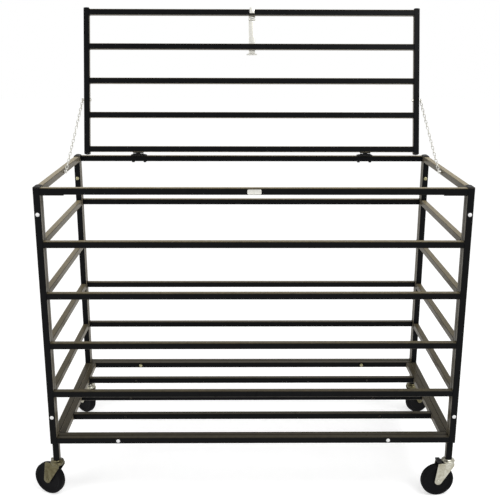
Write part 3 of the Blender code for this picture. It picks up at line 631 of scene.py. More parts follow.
class NodeTools:
    """Geometry node trees for what repeats, each built once."""

    def __init__(self) -> None:
        """Build the three trees."""
        self.placer = self._placer()
        self.links = self._links()
        self.beads = self._beads()

    @staticmethod
    def _open(name: str, inputs: dict[str, object]) -> tuple[Tree, Outputs, Node]:
        """Create an empty tree that takes and gives geometry."""
        return open_tree(name, "Geometry", {"Geometry": "Geometry", "Material": "Material", **inputs},
                         {"Geometry": "Geometry"})

    @staticmethod
    def _close(tree: Tree, material: Socket, sink: Node, values: Values) -> Tree:
        """End a tree in Instance on Points, Realize Instances and Set Material, and return it."""
        copies = add(tree, "GeometryNodeInstanceOnPoints", values)
        real = add(tree, "GeometryNodeRealizeInstances", {0: copies[0]})
        put(sink, {0: add(tree, "GeometryNodeSetMaterial", {"Geometry": real[0], "Material": material})[0]})
        return tree

    def _placer(self) -> Tree:
        """Build the tree that puts a copy of a piece on each point, turned by its own angles."""
        tree, given, sink = self._open("place_copies", {"Piece": "Object"})
        piece = add(tree, "GeometryNodeObjectInfo", {"Object": given["Piece"]})
        facing = add(tree, "GeometryNodeInputNamedAttribute", {"Name": "facing"}, data_type="FLOAT_VECTOR")
        turn = add(tree, "FunctionNodeEulerToRotation", {0: facing[0]})
        return self._close(tree, given["Material"], sink, {
            "Points": given["Geometry"], "Instance": piece["Geometry"], "Rotation": turn[0]})

    def _links(self) -> Tree:
        """Build the tree that lines up chain links along +Y, every other one turned on edge."""
        tree, given, sink = self._open("chain_links", {"Link": "Object", "Count": 10, "First": 0.005, "Pitch": 0.015})
        link = add(tree, "GeometryNodeObjectInfo", {"Object": given["Link"]})
        start, step = (add(tree, "ShaderNodeCombineXYZ", {"Y": given[label]})[0] for label in ("First", "Pitch"))
        line = add(tree, "GeometryNodeMeshLine", {"Count": given["Count"], "Start Location": start, "Offset": step})
        parity = maths(tree, "MODULO", add(tree, "GeometryNodeInputIndex")[0], 2.0)
        quarter = maths(tree, "MULTIPLY_ADD", parity, pi / 2, -pi / 2)
        angles = add(tree, "ShaderNodeCombineXYZ", {"Y": quarter})
        turn = add(tree, "FunctionNodeEulerToRotation", {0: angles[0]})
        return self._close(tree, given["Material"], sink, {
            "Points": line[0], "Instance": link["Geometry"], "Rotation": turn[0]})

    def _beads(self) -> Tree:
        """Build the tree that lays the ripples of a weld along the edges of a joint."""
        tree, given, sink = self._open("weld_ripples", {"Spacing": 0.002, "Radius": 0.0014, "Seed": 7})
        curve = add(tree, "GeometryNodeMeshToCurve", {"Mesh": given["Geometry"]})
        even = add(tree, "GeometryNodeResampleCurve", {"Curve": curve[0], "Length": given["Spacing"]}, mode="LENGTH")
        ball = add(tree, "GeometryNodeMeshIcoSphere", {"Radius": given["Radius"], "Subdivisions": 1})
        size = add(tree, "FunctionNodeRandomValue", {2: 0.85, 3: 1.2, "Seed": given["Seed"]})
        return self._close(tree, given["Material"], sink, {
            "Points": even[0], "Instance": ball["Mesh"], "Scale": size[1]})

    @staticmethod
    def run(obj: Object, tree: Tree, values: dict[str, object]) -> Object:
        """Run a tree on an object and keep the result as a plain mesh.

        Args:
            obj: The object.
            tree: The tree.
            values: The value of each named input.

        Returns:
            The same object with its new mesh.
        """
        step = obj.modifiers.new("nodes", "NODES")
        step.node_group = tree
        ids = {item.name: item.identifier for item in tree.interface.items_tree
               if item.item_type == "SOCKET" and item.in_out == "INPUT"}
        for label, value in values.items():
            step[ids[label]] = value
        return settled(obj)

    def copies(self, name: str, piece: Object, material: Material, spots: Sequence[Sequence[float]],
               facings: Sequence[Sequence[float]]) -> Object:
        """Place copies of a piece on points, each turned by its own angles.

        Args:
            name: Name of the object that holds the copies.
            piece: What is copied.
            material: Its material.
            spots: Where each copy goes.
            facings: How each copy is turned, as Euler angles.

        Returns:
            One object with all the copies in its mesh.
        """
        mesh = bpy.data.meshes.new(name)
        mesh.from_pydata([tuple(spot) for spot in spots], [], [])
        facing = mesh.attributes.new("facing", "FLOAT_VECTOR", "POINT")
        facing.data.foreach_set("vector", [value for angles in facings for value in angles])
        return self.run(placed(name, mesh), self.placer, {"Piece": piece, "Material": material})


# The locker


@dataclass
class Layout:
    """Where things are, read from the frame and the record."""

    front: float
    depth: float
    joints: dict[str, dict[str, object]]
    top: float = 0.9695
    width: float = 1.2192
    rail_pitch: float = 0.1524
    rails: int = 6
    lid_open: float = 104.0
    lid_width: float = 1.1430
    lid_pitch: float = 0.1160
    lid_rails: int = 5
    lid_first: float = 0.0175
    lid_face: float = -0.0045
    lid_mid: float = lid_face - HALF

    @classmethod
    def read(cls, record: dict[str, object]) -> Layout:
        """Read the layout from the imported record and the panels' boxes."""
        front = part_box("front_panel")[0][1]
        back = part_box("back_panel")[1][1]
        return cls(front, back - front, {j["name"]: j for j in record["behaviour"]["joints"]})

    def spot(self, joint: str) -> Vector:
        """Return a joint's place at rest."""
        return Vector(self.joints[joint]["pos_m"])

    @property
    def lid(self) -> Matrix:
        """The matrix from the lid's own frame to the locker at rest."""
        return Matrix.Translation(self.spot("lid_hinge")) @ Matrix.Rotation(radians(-self.lid_open), 4, "X")

    @property
    def rail_heights(self) -> list[float]:
        """Centre heights of the rails, from the top down."""
        return [self.top - HALF - i * self.rail_pitch for i in range(self.rails)]

    @property
    def lid_front(self) -> float:
        """From the hinge pin to the end of the lid's side tubes."""
        return self.lid_first + (self.lid_rails - 1) * self.lid_pitch + HALF + 0.002


@dataclass
class Fitting:
    """What each sub-assembly is built with."""

    layout: Layout
    paint: Paint
    nodes: NodeTools


@dataclass
class TubeWork(Fitting):
    """The welded panels, which keep their CAD shape, and the ripples of their welds."""

    panels: tuple[str, ...] = ("front_panel", "back_panel", "left_end_panel", "right_end_panel", "floor_grid",
                               "lid_frame")
    bead_radius: float = 0.0012
    bead_spacing: float = 0.0019
    corner: float = 0.0017

    def dress(self, frame_nodes: dict[str, Object]) -> None:
        """Give each panel its powder coat."""
        coat = self.paint.get(POWDER_COAT)
        for name in self.panels:
            for slot in frame_nodes[name].material_slots:
                slot.material = coat
            LOG.info("%s is coated", name)

    def _ring(self, centre: Vector, normal: int) -> tuple[list[Vector], list[tuple[int, int]]]:
        """Return the points and edges of a seam round a rail's end.

        Args:
            centre: Middle of the rail's end.
            normal: Index of the axis along the rail.

        Returns:
            Points and edges.
        """
        axes = [i for i in range(3) if i != normal]
        points = []
        for u, v in rounded_square(HALF - 0.0002, self.corner, 2):
            point = centre.copy()
            point[axes[0]] += u
            point[axes[1]] += v
            points.append(point)
        return points, [(i, (i + 1) % len(points)) for i in range(len(points))]

    def _seams(self, name: str, ends: Sequence[tuple[Vector, int]], place: Matrix, body: Body,
               resting: Callable[[Vector], bool] = lambda point: False) -> None:
        """Lay ripples along a set of seams.

        Args:
            name: Name of the piece.
            ends: Middle and axis of each rail end.
            place: Matrix for the points.
            body: The body that the seams are on.
            resting: Says which points lie on another piece, and so have no weld.
        """
        points: list[Vector] = []
        edges: list[tuple[int, int]] = []
        for centre, normal in ends:
            ring, pairs = self._ring(centre, normal)
            edges += [(a + len(points), b + len(points)) for a, b in pairs
                      if not (resting(ring[a]) or resting(ring[b]))]
            points += [place @ p for p in ring]
        mesh = bpy.data.meshes.new(name)
        mesh.from_pydata(points, edges, [])
        made = self.nodes.run(placed(name, mesh), self.nodes.beads, {
            "Material": self.paint.get(WELD), "Spacing": self.bead_spacing, "Radius": self.bead_radius, "Seed": 7})
        self.paint.finish(made, WELD, body, angle=80)

    def weld(self) -> None:
        """Lay the welds of the frame and of the lid."""
        lay = self.layout
        ends: list[tuple[Vector, int]] = []
        inner = lay.width / 2 - TUBE
        low, high = lay.front + TUBE + GAP + TUBE, lay.front + lay.depth - TUBE - GAP - TUBE
        for z in lay.rail_heights:
            for side in (-1, 1):
                for y in (lay.front + HALF, lay.front + lay.depth - HALF):
                    ends.append((Vector((side * inner, y, z)), 0))
                for y in (low, high):
                    ends.append((Vector((side * (lay.width / 2 - HALF), y, z)), 1))
        first, last = low - HALF, high + HALF
        for i in range(1, 4):
            y = first + (last - first) * i / 4
            for side in (-1, 1):
                ends.append((Vector((side * (inner - GAP - TUBE), y, lay.rail_heights[-1])), 0))
        for y in (first + HALF, last - HALF):
            for side in (-1, 1):
                ends.append((Vector((side * (inner - GAP - HALF), y, lay.rail_heights[-1])), 1))
        self._seams("frame_welds", ends, Matrix(), Body.FRAME)
        reach = lay.lid_width / 2 - TUBE
        lid_ends = [(Vector((side * reach, -lay.lid_first - i * lay.lid_pitch, lay.lid_mid)), 0)
                    for i in range(lay.lid_rails) for side in (-1, 1)]
        front, under = -lay.lid_first - (lay.lid_rails - 1.5) * lay.lid_pitch, lay.lid_mid - HALF + 0.001
        self._seams("lid_welds", lid_ends, lay.lid, Body.LID, lambda point: point.y < front and point.z < under)


@dataclass
class EndCaps(Fitting):
    """Domed plugs in the open ends of the posts, the legs and the lid's side tubes."""

    bore: float = HALF - WALL - GAP
    depth: float = 0.0120
    lid_back: float = 0.0030
    levels: tuple[tuple[float, float, float], ...] = (
        (-0.0004, 0.0016, GAP), (0.0, 0.0018, 0.0007), (0.0, 0.0018, 0.0013), (-0.0003, 0.0019, 0.0019),
        (-0.0011, 0.0024, 0.0026), (-0.0024, 0.0032, 0.0034), (-0.0042, 0.0036, 0.0041), (-0.0064, 0.0029, 0.0046))

    def _cap(self) -> Object:
        """Build one plug, standing on its tube's end."""
        def build(bm: BMesh) -> None:
            """Add the plug."""
            outlines = [(rounded_square(self.bore - 0.0006, 0.0010), -self.depth),
                        (rounded_square(self.bore, 0.0010), -self.depth + 0.0008),
                        (rounded_square(self.bore, 0.0010), GAP)]
            outlines += [(rounded_square(HALF + less, radius), z) for less, radius, z in self.levels]
            skin(bm, [[Vector((u, v, z)) for u, v in outline] for outline, z in outlines])
        return mesh_object("plug_pattern", [build])

    def build(self) -> None:
        """Place every plug."""
        lay = self.layout
        pattern = self._cap()
        material = self.paint.get(MOULDED)
        post_x = lay.width / 2 - HALF
        leg = TUBE + GAP + HALF
        spots = [(side * post_x, lay.front + y, lay.top) for side in (-1, 1)
                 for y in (HALF, leg, lay.depth - leg, lay.depth - HALF)]
        names = [f"{kind}_plug_{face}_{side.word}" for side in Side for kind in ("post", "leg")
                 for face in ("front", "back")]
        caps = self.nodes.copies("post_caps", pattern, material, spots, [(0, 0, 0)] * len(spots))
        self.paint.finish(caps, MOULDED, Body.FRAME, *names)
        x = lay.lid_width / 2 - HALF
        ends = [(side, y, turn) for side in (-1, 1)
                for y, turn in ((-lay.lid_front, pi / 2), (-self.lid_back, -pi / 2))]
        spots = [lay.lid @ Vector((side * x, y, lay.lid_mid)) for side, y, _ in ends]
        facings = [(turn - radians(lay.lid_open), 0, 0) for _, _, turn in ends]
        names = [f"lid_plug_{end}_{side.word}" for side in Side for end in ("front", "rear")]
        caps = self.nodes.copies("lid_caps", pattern, material, spots, facings)
        self.paint.finish(caps, MOULDED, Body.LID, *names)
        bpy.data.objects.remove(pattern, do_unlink=True)


@dataclass
class PanelBolts(Fitting):
    """Round-head bolts with hexagon nuts, through the posts and the bottom rails."""

    shank: float = 0.00315
    head: float = 0.0058
    head_height: float = 0.0034
    nut: float = 0.0060
    nut_height: float = 0.0050
    washer: float = 0.0007
    floor_x: float = 0.4060
    top_bolt: float = 0.0750
    low_bolt: float = 0.0870
    inside: float = 0.0100

    def _bolt(self) -> Object:
        """Build one bolt along +Z, with its head's seat at the origin."""
        grip = 2 * TUBE + 3 * GAP
        tail = grip + self.nut_height + 0.0020
        dome = [(self.head * sin(a), -self.head_height * cos(a)) for a in (radians(d) for d in (8, 25, 42, 58, 74))]
        ridges = [(self.shank + (0.0003 if k % 2 else 0.0), tail - 0.0018 + k * 0.0003) for k in range(5)]
        profile = [*dome, (self.head, -0.0003), (self.head - 0.0002, 0), (self.shank, 0), *ridges,
                   (self.shank - 0.0006, tail)]
        low, high = grip - 0.0001, grip + self.washer
        washer = [(self.shank, low), (self.nut, low), (self.nut, high), (self.shank, high)]
        return mesh_object("bolt_pattern", [
            turned(profile, segments=28), turned(washer, segments=28, hollow=True),
            hex_nut(self.nut - 0.0001, high, grip + self.nut_height)])

    def build(self) -> None:
        """Place every bolt, and put its faces inside the cage on another material slot."""
        lay = self.layout
        pattern = self._bolt()
        bottom = lay.rail_heights[-1] - HALF
        spots, facings, names = [], [], []
        for face, y, turn in (("front", lay.front - GAP, -pi / 2), ("back", lay.front + lay.depth + GAP, pi / 2)):
            for side in Side:
                x = side.value * (lay.width / 2 - HALF)
                for level, z in (("top", lay.top - self.top_bolt), ("low", bottom + self.low_bolt)):
                    spots.append((x, y, z))
                    names.append(f"panel_bolt_{face}_{side.word}_{level}")
                spots.append((side.value * self.floor_x, y, lay.rail_heights[-1]))
                names.append(f"floor_bolt_{face}_{side.word}")
                facings += [(turn, 0, 0)] * 3
        bolts = self.nodes.copies("panel_bolts", pattern, self.paint.get(BOLT_ZINC), spots, facings)
        bolts.data.materials.append(self.paint.get(NUT_PAINTED_SHADE))
        # Set Material leaves slot 0 empty, so the heads outside are bare and the nuts inside are zinc.
        # The darker plating, painted shade for the faces inside the cage, is on slot 2, which no face uses.
        for face in bolts.data.polygons:
            face.material_index = int(self.inside < face.center.y - lay.front < lay.depth - self.inside)
        self.paint.finish(bolts, BOLT_ZINC, Body.FRAME, *names)
        bpy.data.objects.remove(pattern, do_unlink=True)


@dataclass
class LidHinges(Fitting):
    """Two black butt hinges between the back top rail and the lid's rear rail."""

    x: float = 0.3900
    knuckle: float = 0.0045
    pin: float = 0.0022
    leaf: float = 0.0025
    base_width: float = 0.0550
    barrel: float = 0.0370
    middle: float = 0.0160
    bolt_x: float = 0.0200
    shank: float = 0.0022
    nut: float = 0.0050
    nut_height: float = 0.0040
    edge: float = 0.0016
    corner: float = 0.0030

    def build(self) -> None:
        """Build both hinges."""
        for side in Side:
            self._base(side)
            self._leaf(side)

    def _base(self, side: Side) -> None:
        """Build the fixed leaf, its two knuckles, the pin and the two bolts."""
        lay = self.layout
        x = side.value * self.x
        pin = lay.spot("lid_hinge")
        low = lay.top + GAP
        top = low + self.leaf
        back = lay.front + lay.depth
        clear = self.knuckle + 2 * GAP
        centre = (pin.y + clear + back - self.edge) / 2
        deep = (back - self.edge - pin.y - clear) / 2
        builders = [prism(rounded_plate(self.base_width / 2, deep, self.corner), low, top,
                          Matrix.Translation((x, centre, 0)))]
        for s in (-1, 1):
            near, far = sorted((x + s * (self.middle / 2 + GAP), x + s * self.barrel / 2))
            builders += [rod(self.knuckle, (near, pin.y, pin.z), (far, pin.y, pin.z), 36, 0.0004),
                         block((near + 0.0002, pin.y, low), (far - 0.0002, pin.y + clear + 0.0008, top))]
        plate = softened(mesh_object(f"hinge_base_{side.word}_plate", builders))
        end = self.barrel / 2 + 0.0010
        under = lay.top - TUBE - GAP
        builders = [rod(self.pin, (x - end, pin.y, pin.z), (x + end, pin.y, pin.z), 24, 0.0005)]
        for s in (-1, 1):
            stand = Matrix.Translation((x + s * self.bolt_x, back - HALF, 0))
            bolt = [(self.shank, under - self.nut_height), (self.shank, top - 0.0002), (self.nut, top - 0.0002),
                    (self.nut, top + 0.0004), (self.nut * 0.86, top + 0.0013), (self.nut * 0.6, top + 0.0019),
                    (self.nut * 0.3, top + 0.0022)]
            builders += [turned(bolt, stand, 28), hex_nut(self.nut, under - self.nut_height, under, stand)]
        made = merged(mesh_object(f"hinge_base_{side.word}", builders), plate)
        made.name = f"{made.name}_visual"
        self.paint.finish(made, HINGE_BLACK, Body.FRAME, f"hinge_base_{side.word}")

    def _leaf(self, side: Side) -> None:
        """Build the lid's leaf with the middle knuckle and its two rivets."""
        lay = self.layout
        x = side.value * self.x
        low = lay.lid_face + GAP
        top = low + self.leaf
        end = -lay.lid_first - HALF + self.edge
        clear = self.knuckle + 2 * GAP
        mid = self.middle / 2
        centre, deep = (end - clear) / 2, (-clear - end) / 2
        ring = [(self.pin + GAP, -mid), (self.knuckle - 0.0004, -mid), (self.knuckle, -mid + 0.0004),
                (self.knuckle, mid - 0.0004), (self.knuckle - 0.0004, mid), (self.pin + GAP, mid)]
        builders = [prism(rounded_plate(self.barrel / 2, deep, self.corner), low, top,
                          Matrix.Translation((x, centre, 0))),
                    turned(ring, Matrix.Translation((x, 0, 0)) @ ACROSS, 36, hollow=True),
                    block((x - mid + 0.0002, -clear - 0.0008, low), (x + mid - 0.0002, -self.knuckle * 0.7, top))]
        rivet = [(0.0042, top - 0.0008), (0.0042, top + 0.0003), (0.0034, top + 0.0011), (0.0020, top + 0.0016)]
        builders += [turned(rivet, Matrix.Translation((x + s * self.middle * 0.7, -lay.lid_first, 0)), 28)
                     for s in (-1, 1)]
        made = softened(mesh_object(f"hinge_leaf_{side.word}_plate", builders, lay.lid))
        made.name = f"lid_hinge_leaf_{side.word}"
        self.paint.finish(made, HINGE_BLACK, Body.LID, f"hinge_leaf_{side.word}")


@dataclass
class Hasp(Fitting):
    """The hasp on the lid's front rail, its long strap, and the plate that it comes down on."""

    setback: float = 0.0310
    knuckle: float = 0.0042
    pin: float = 0.0018
    middle: float = 0.0106
    width: float = 0.0220
    thick: float = 0.0030
    end_width: float = 0.0360
    end_drop: float = 0.0360
    bend: float = 0.0040
    plate: float = 0.0020
    hook_width: float = 0.0160
    hook_depth: float = 0.0052
    slot_width: float = 0.0180
    slot_height: float = 0.0080
    slot_corner: float = 0.0039
    slot_drop: float = 0.0035
    catch_width: float = 0.0390
    catch_height: float = 0.0140
    catch_corner: float = 0.0035
    catch_drop: float = 0.0102
    catch_thick: float = 0.0020

    def build(self) -> None:
        """Build the three pieces."""
        self._leaf()
        self._strap()
        self._strike()

    @property
    def out(self) -> float:
        """From the lid's hinge pin to the hasp's pin."""
        return self.layout.lid_front - self.setback

    def _leaf(self) -> None:
        """Build the fixed half, hooked round the lid's front rail."""
        lay = self.layout
        y, low = -self.out, lay.lid_face + GAP
        last = lay.lid_first + (lay.lid_rails - 1) * lay.lid_pitch
        front, under = -last - HALF - GAP, lay.lid_face - TUBE - GAP
        outer = front - self.hook_depth
        half, hook = self.width / 2, self.hook_width / 2
        clear = self.knuckle + 2 * GAP
        centre, deep = (front + y - clear) / 2, (y - clear - front) / 2
        outline = [(front + 0.0007, low + self.plate), (outer + 0.0016, low + self.plate),
                   (outer + 0.0005, low + self.plate * 0.75), (outer, low + 0.0002), (outer, under),
                   (outer + 0.0005, under - self.plate * 0.75), (outer + 0.0016, under - self.plate),
                   (-last + HALF * 0.5, under - self.plate), (-last + HALF * 0.5, under), (front, under),
                   (front, low), (front + 0.0007, low)]
        builders = [prism(rounded_plate(half, deep, 0.0022), low, low + self.plate,
                          Matrix.Translation((0, centre, 0))), prism(outline, -hook, hook, ACROSS)]
        for s in (-1, 1):
            near, far = sorted((s * (self.middle / 2 + GAP), s * half))
            builders.append(rod(self.knuckle, (near, y, 0), (far, y, 0), 32, 0.0003))
            builders.append(block((near + 0.0001, y - clear - 0.0008, low), (far - 0.0001, y, low + self.plate)))
        builders.append(rod(self.pin, (-half - 0.001, y, 0), (half + 0.001, y, 0), 20, 0.0004))
        made = softened(mesh_object("hasp_hook", builders, lay.lid), 0.00025)
        self.paint.finish(made, ZINC, Body.LID, "hasp_leaf")

    def _strap(self) -> None:
        """Build the strap with its bent end and the padlock slot."""
        lay = self.layout
        pin = lay.spot("lid_hinge")
        reach = pin.y - lay.front - self.out + GAP + self.catch_thick + 2 * GAP
        t = self.thick / 2
        bottom = lay.top - self.end_drop - pin.z
        centre_y, centre_z = -reach + self.bend, -t - self.bend
        clear = self.knuckle + 2 * GAP
        bends = [radians(90 * k / 8) for k in range(9)]

        def arc(radius: float) -> list[Point]:
            """Return a quarter turn of the strap's bend."""
            return [(centre_y - radius * sin(a), centre_z + radius * cos(a)) for a in bends]

        strip = [(-clear, -t), (-clear, t), *arc(self.bend + self.thick), (-reach - self.thick, centre_z - 0.004),
                 (-reach, centre_z - 0.004), *arc(self.bend)[::-1]]
        half, high, corner = self.end_width / 2, centre_z - 0.0005, 0.006
        end = [(-half, high), (-half, bottom + corner)]
        end += [(-half + corner - corner * cos(a), bottom + corner - corner * sin(a)) for a in bends[1:]]
        end += [(-x, z) for x, z in end[::-1]]
        mid = self.middle / 2
        ring = [(self.pin + GAP, -mid), (self.knuckle, -mid), (self.knuckle, mid), (self.pin + GAP, mid)]
        place = lay.lid @ Matrix.Translation((0, -self.out, 0)) @ Matrix.Rotation(-radians(self.swing), 4, "X")
        wide, tall = self.slot_width / 2, self.slot_height / 2
        middle = lay.top - TUBE - self.slot_drop - pin.z - tall
        slot = prism(rounded_plate(wide, tall, self.slot_corner), reach - self.thick, reach + 2 * self.thick,
                     UPRIGHT @ Matrix.Translation((0, middle, 0)))
        made = drilled(mesh_object("hasp_strap_plain", [prism(end, reach, reach + self.thick, UPRIGHT)]), [slot])
        bar = mesh_object("hasp_strap_bar", [
            prism(strip, -self.width / 2, self.width / 2, ACROSS),
            block((-mid + 0.0001, -clear - 0.0008, -t), (mid - 0.0001, -self.knuckle * 0.6, t)),
            turned(ring, ACROSS, 32, hollow=True)])
        made = softened(merged(made, bar, place), 0.0003)
        made.name = "hasp_strap_visual"
        self.paint.finish(made, ZINC, Body.STRAP, "hasp_strap")

    @property
    def swing(self) -> float:
        """The strap's turn from lying over the lid's edge to hanging, in degrees."""
        return float(self.layout.joints["hasp_hinge"]["range_deg"][1])

    def _strike(self) -> None:
        """Build the bright plate on the front rail."""
        lay = self.layout
        place = Matrix.Translation((0, lay.front, lay.top - self.catch_drop)) @ UPRIGHT
        outline = rounded_plate(self.catch_width / 2, self.catch_height / 2, self.catch_corner, 8)
        made = mesh_object("strike_plate_visual", [prism(outline, GAP, GAP + self.catch_thick, place)])
        self.paint.finish(softened(made, 0.0005, 3), ZINC, Body.FRAME, "strike_plate")


@dataclass
class StayChains(Fitting):
    """The two chains that hold the lid back, each in two runs, and their anchor bolts."""

    wire: float = 0.0022
    swell: float = 1.12
    inside_width: float = 0.0050
    lower_links: int = 13
    upper_links: int = 10
    bite: float = 0.0003
    middle_gap: float = 0.0004
    shank: float = 0.0022
    head: float = 0.0055
    head_height: float = 0.0025
    collar: float = 0.0045
    nut: float = 0.0050
    nut_height: float = 0.0040

    def build(self) -> None:
        """Build both stays."""
        for side in Side:
            self._stay(side)

    def _link(self, inside: float) -> Object:
        """Build one welded link that stands in the YZ plane once it is turned."""
        radius = (self.inside_width + self.wire) / 2
        half = (inside - self.inside_width) / 2
        path = [(end * radius * cos(a), end * (half + radius * sin(a)), end * half)
                for end in (1, -1) for a in (pi * k / 8 for k in range(9))]

        def build(bm: BMesh) -> None:
            """Add the link, thicker where it is welded."""
            loops = []
            for u, v, hub in path:
                out = Vector((u, v - hub)).normalized()
                swell = self.swell if abs(v) < half * 0.999 else 1.0
                loops.append([Vector((u + self.wire / 2 * swell * cos(a) * out.x, v + self.wire / 2 * cos(a) * out.y,
                                      self.wire / 2 * swell * sin(a))) for a in (2 * pi * k / 10 for k in range(10))])
            skin(bm, loops, capped=False)
        return mesh_object("link_pattern", [build])

    def _stay(self, side: Side) -> None:
        """Build the two runs and the two anchors of one side."""
        lay = self.layout
        base, lid = lay.spot(f"chain_lower_{side.word}_fold"), lay.spot(f"chain_upper_{side.word}_fold")
        span = lid - base
        flat = hypot(span.y, span.z)
        slack = 2 * (self.bite + self.shank + GAP - self.wire) - self.middle_gap
        pitch = (span.length + slack) / (self.lower_links + self.upper_links)
        inside = pitch - self.bite
        pattern = self._link(inside)
        first = inside / 2 - self.shank - GAP
        opening = atan2(span.z, span.y)
        slant = atan2(span.x, flat)
        for kind, spot, turn, lean, count in (("lower", base, opening, -slant, self.lower_links),
                                              ("upper", lid, opening + pi, slant, self.upper_links)):
            name = f"chain_{kind}_{side.word}"
            run = mesh_object(f"{name}_links", [])
            self.nodes.run(run, self.nodes.links, {"Link": pattern, "Material": self.paint.get(ZINC), "Count": count,
                                                   "First": first, "Pitch": pitch})
            turned_to = Matrix.Rotation(turn, 4, "X") @ Matrix.Rotation(lean, 4, "Z")
            run.data.transform(Matrix.Translation(spot) @ turned_to)
            self.paint.finish(run, ZINC, name, name, angle=60)
        bpy.data.objects.remove(pattern, do_unlink=True)
        flip = Matrix.Rotation(pi, 4, "Z")
        mirror = flip if side is Side.LEFT else Matrix()
        face = lay.width / 2 - TUBE - GAP
        place = Matrix.Translation((side.value * face, base.y, base.z)) @ mirror @ flip
        self._anchor(f"chain_anchor_frame_{side.word}", place, face - abs(base.x), Body.FRAME)
        face = lay.lid_width / 2 + GAP
        out = (lay.lid.inverted() @ lid).y
        place = lay.lid @ Matrix.Translation((side.value * face, out, lay.lid_mid)) @ mirror
        self._anchor(f"chain_anchor_lid_{side.word}", place, abs(lid.x) - face, Body.LID)

    def _anchor(self, node: str, place: Matrix, chain: float, body: Body) -> None:
        """Build an anchor bolt along its own +X.

        Args:
            node: The CAD node that it stands for.
            place: Its matrix.
            chain: From the tube's face to the middle of the link.
            body: The body that it is on.
        """
        link = self.wire / 2 + GAP
        seat = -TUBE - 2 * GAP
        end = seat - self.nut_height - 0.001
        cap = chain + link
        profile = [(self.shank - 0.0004, end), (self.shank, end + 0.0004), (self.shank, 0),
                   (self.collar - 0.0002, 0), (self.collar, 0.0002), (self.collar, chain - link - 0.0002),
                   (self.collar - 0.0002, chain - link), (self.shank, chain - link), (self.shank, cap),
                   (self.head - 0.0002, cap), (self.head, cap + 0.0002)]
        profile += [(self.head * wide, cap + self.head_height * high)
                    for wide, high in ((1, 0.4), (0.88, 0.75), (0.6, 0.95), (0.3, 1))]
        made = mesh_object(f"{node}_visual", [turned(profile, ACROSS, 28),
                                              hex_nut(self.nut, seat - self.nut_height, seat, ACROSS)], place)
        self.paint.finish(made, ZINC, body, node)


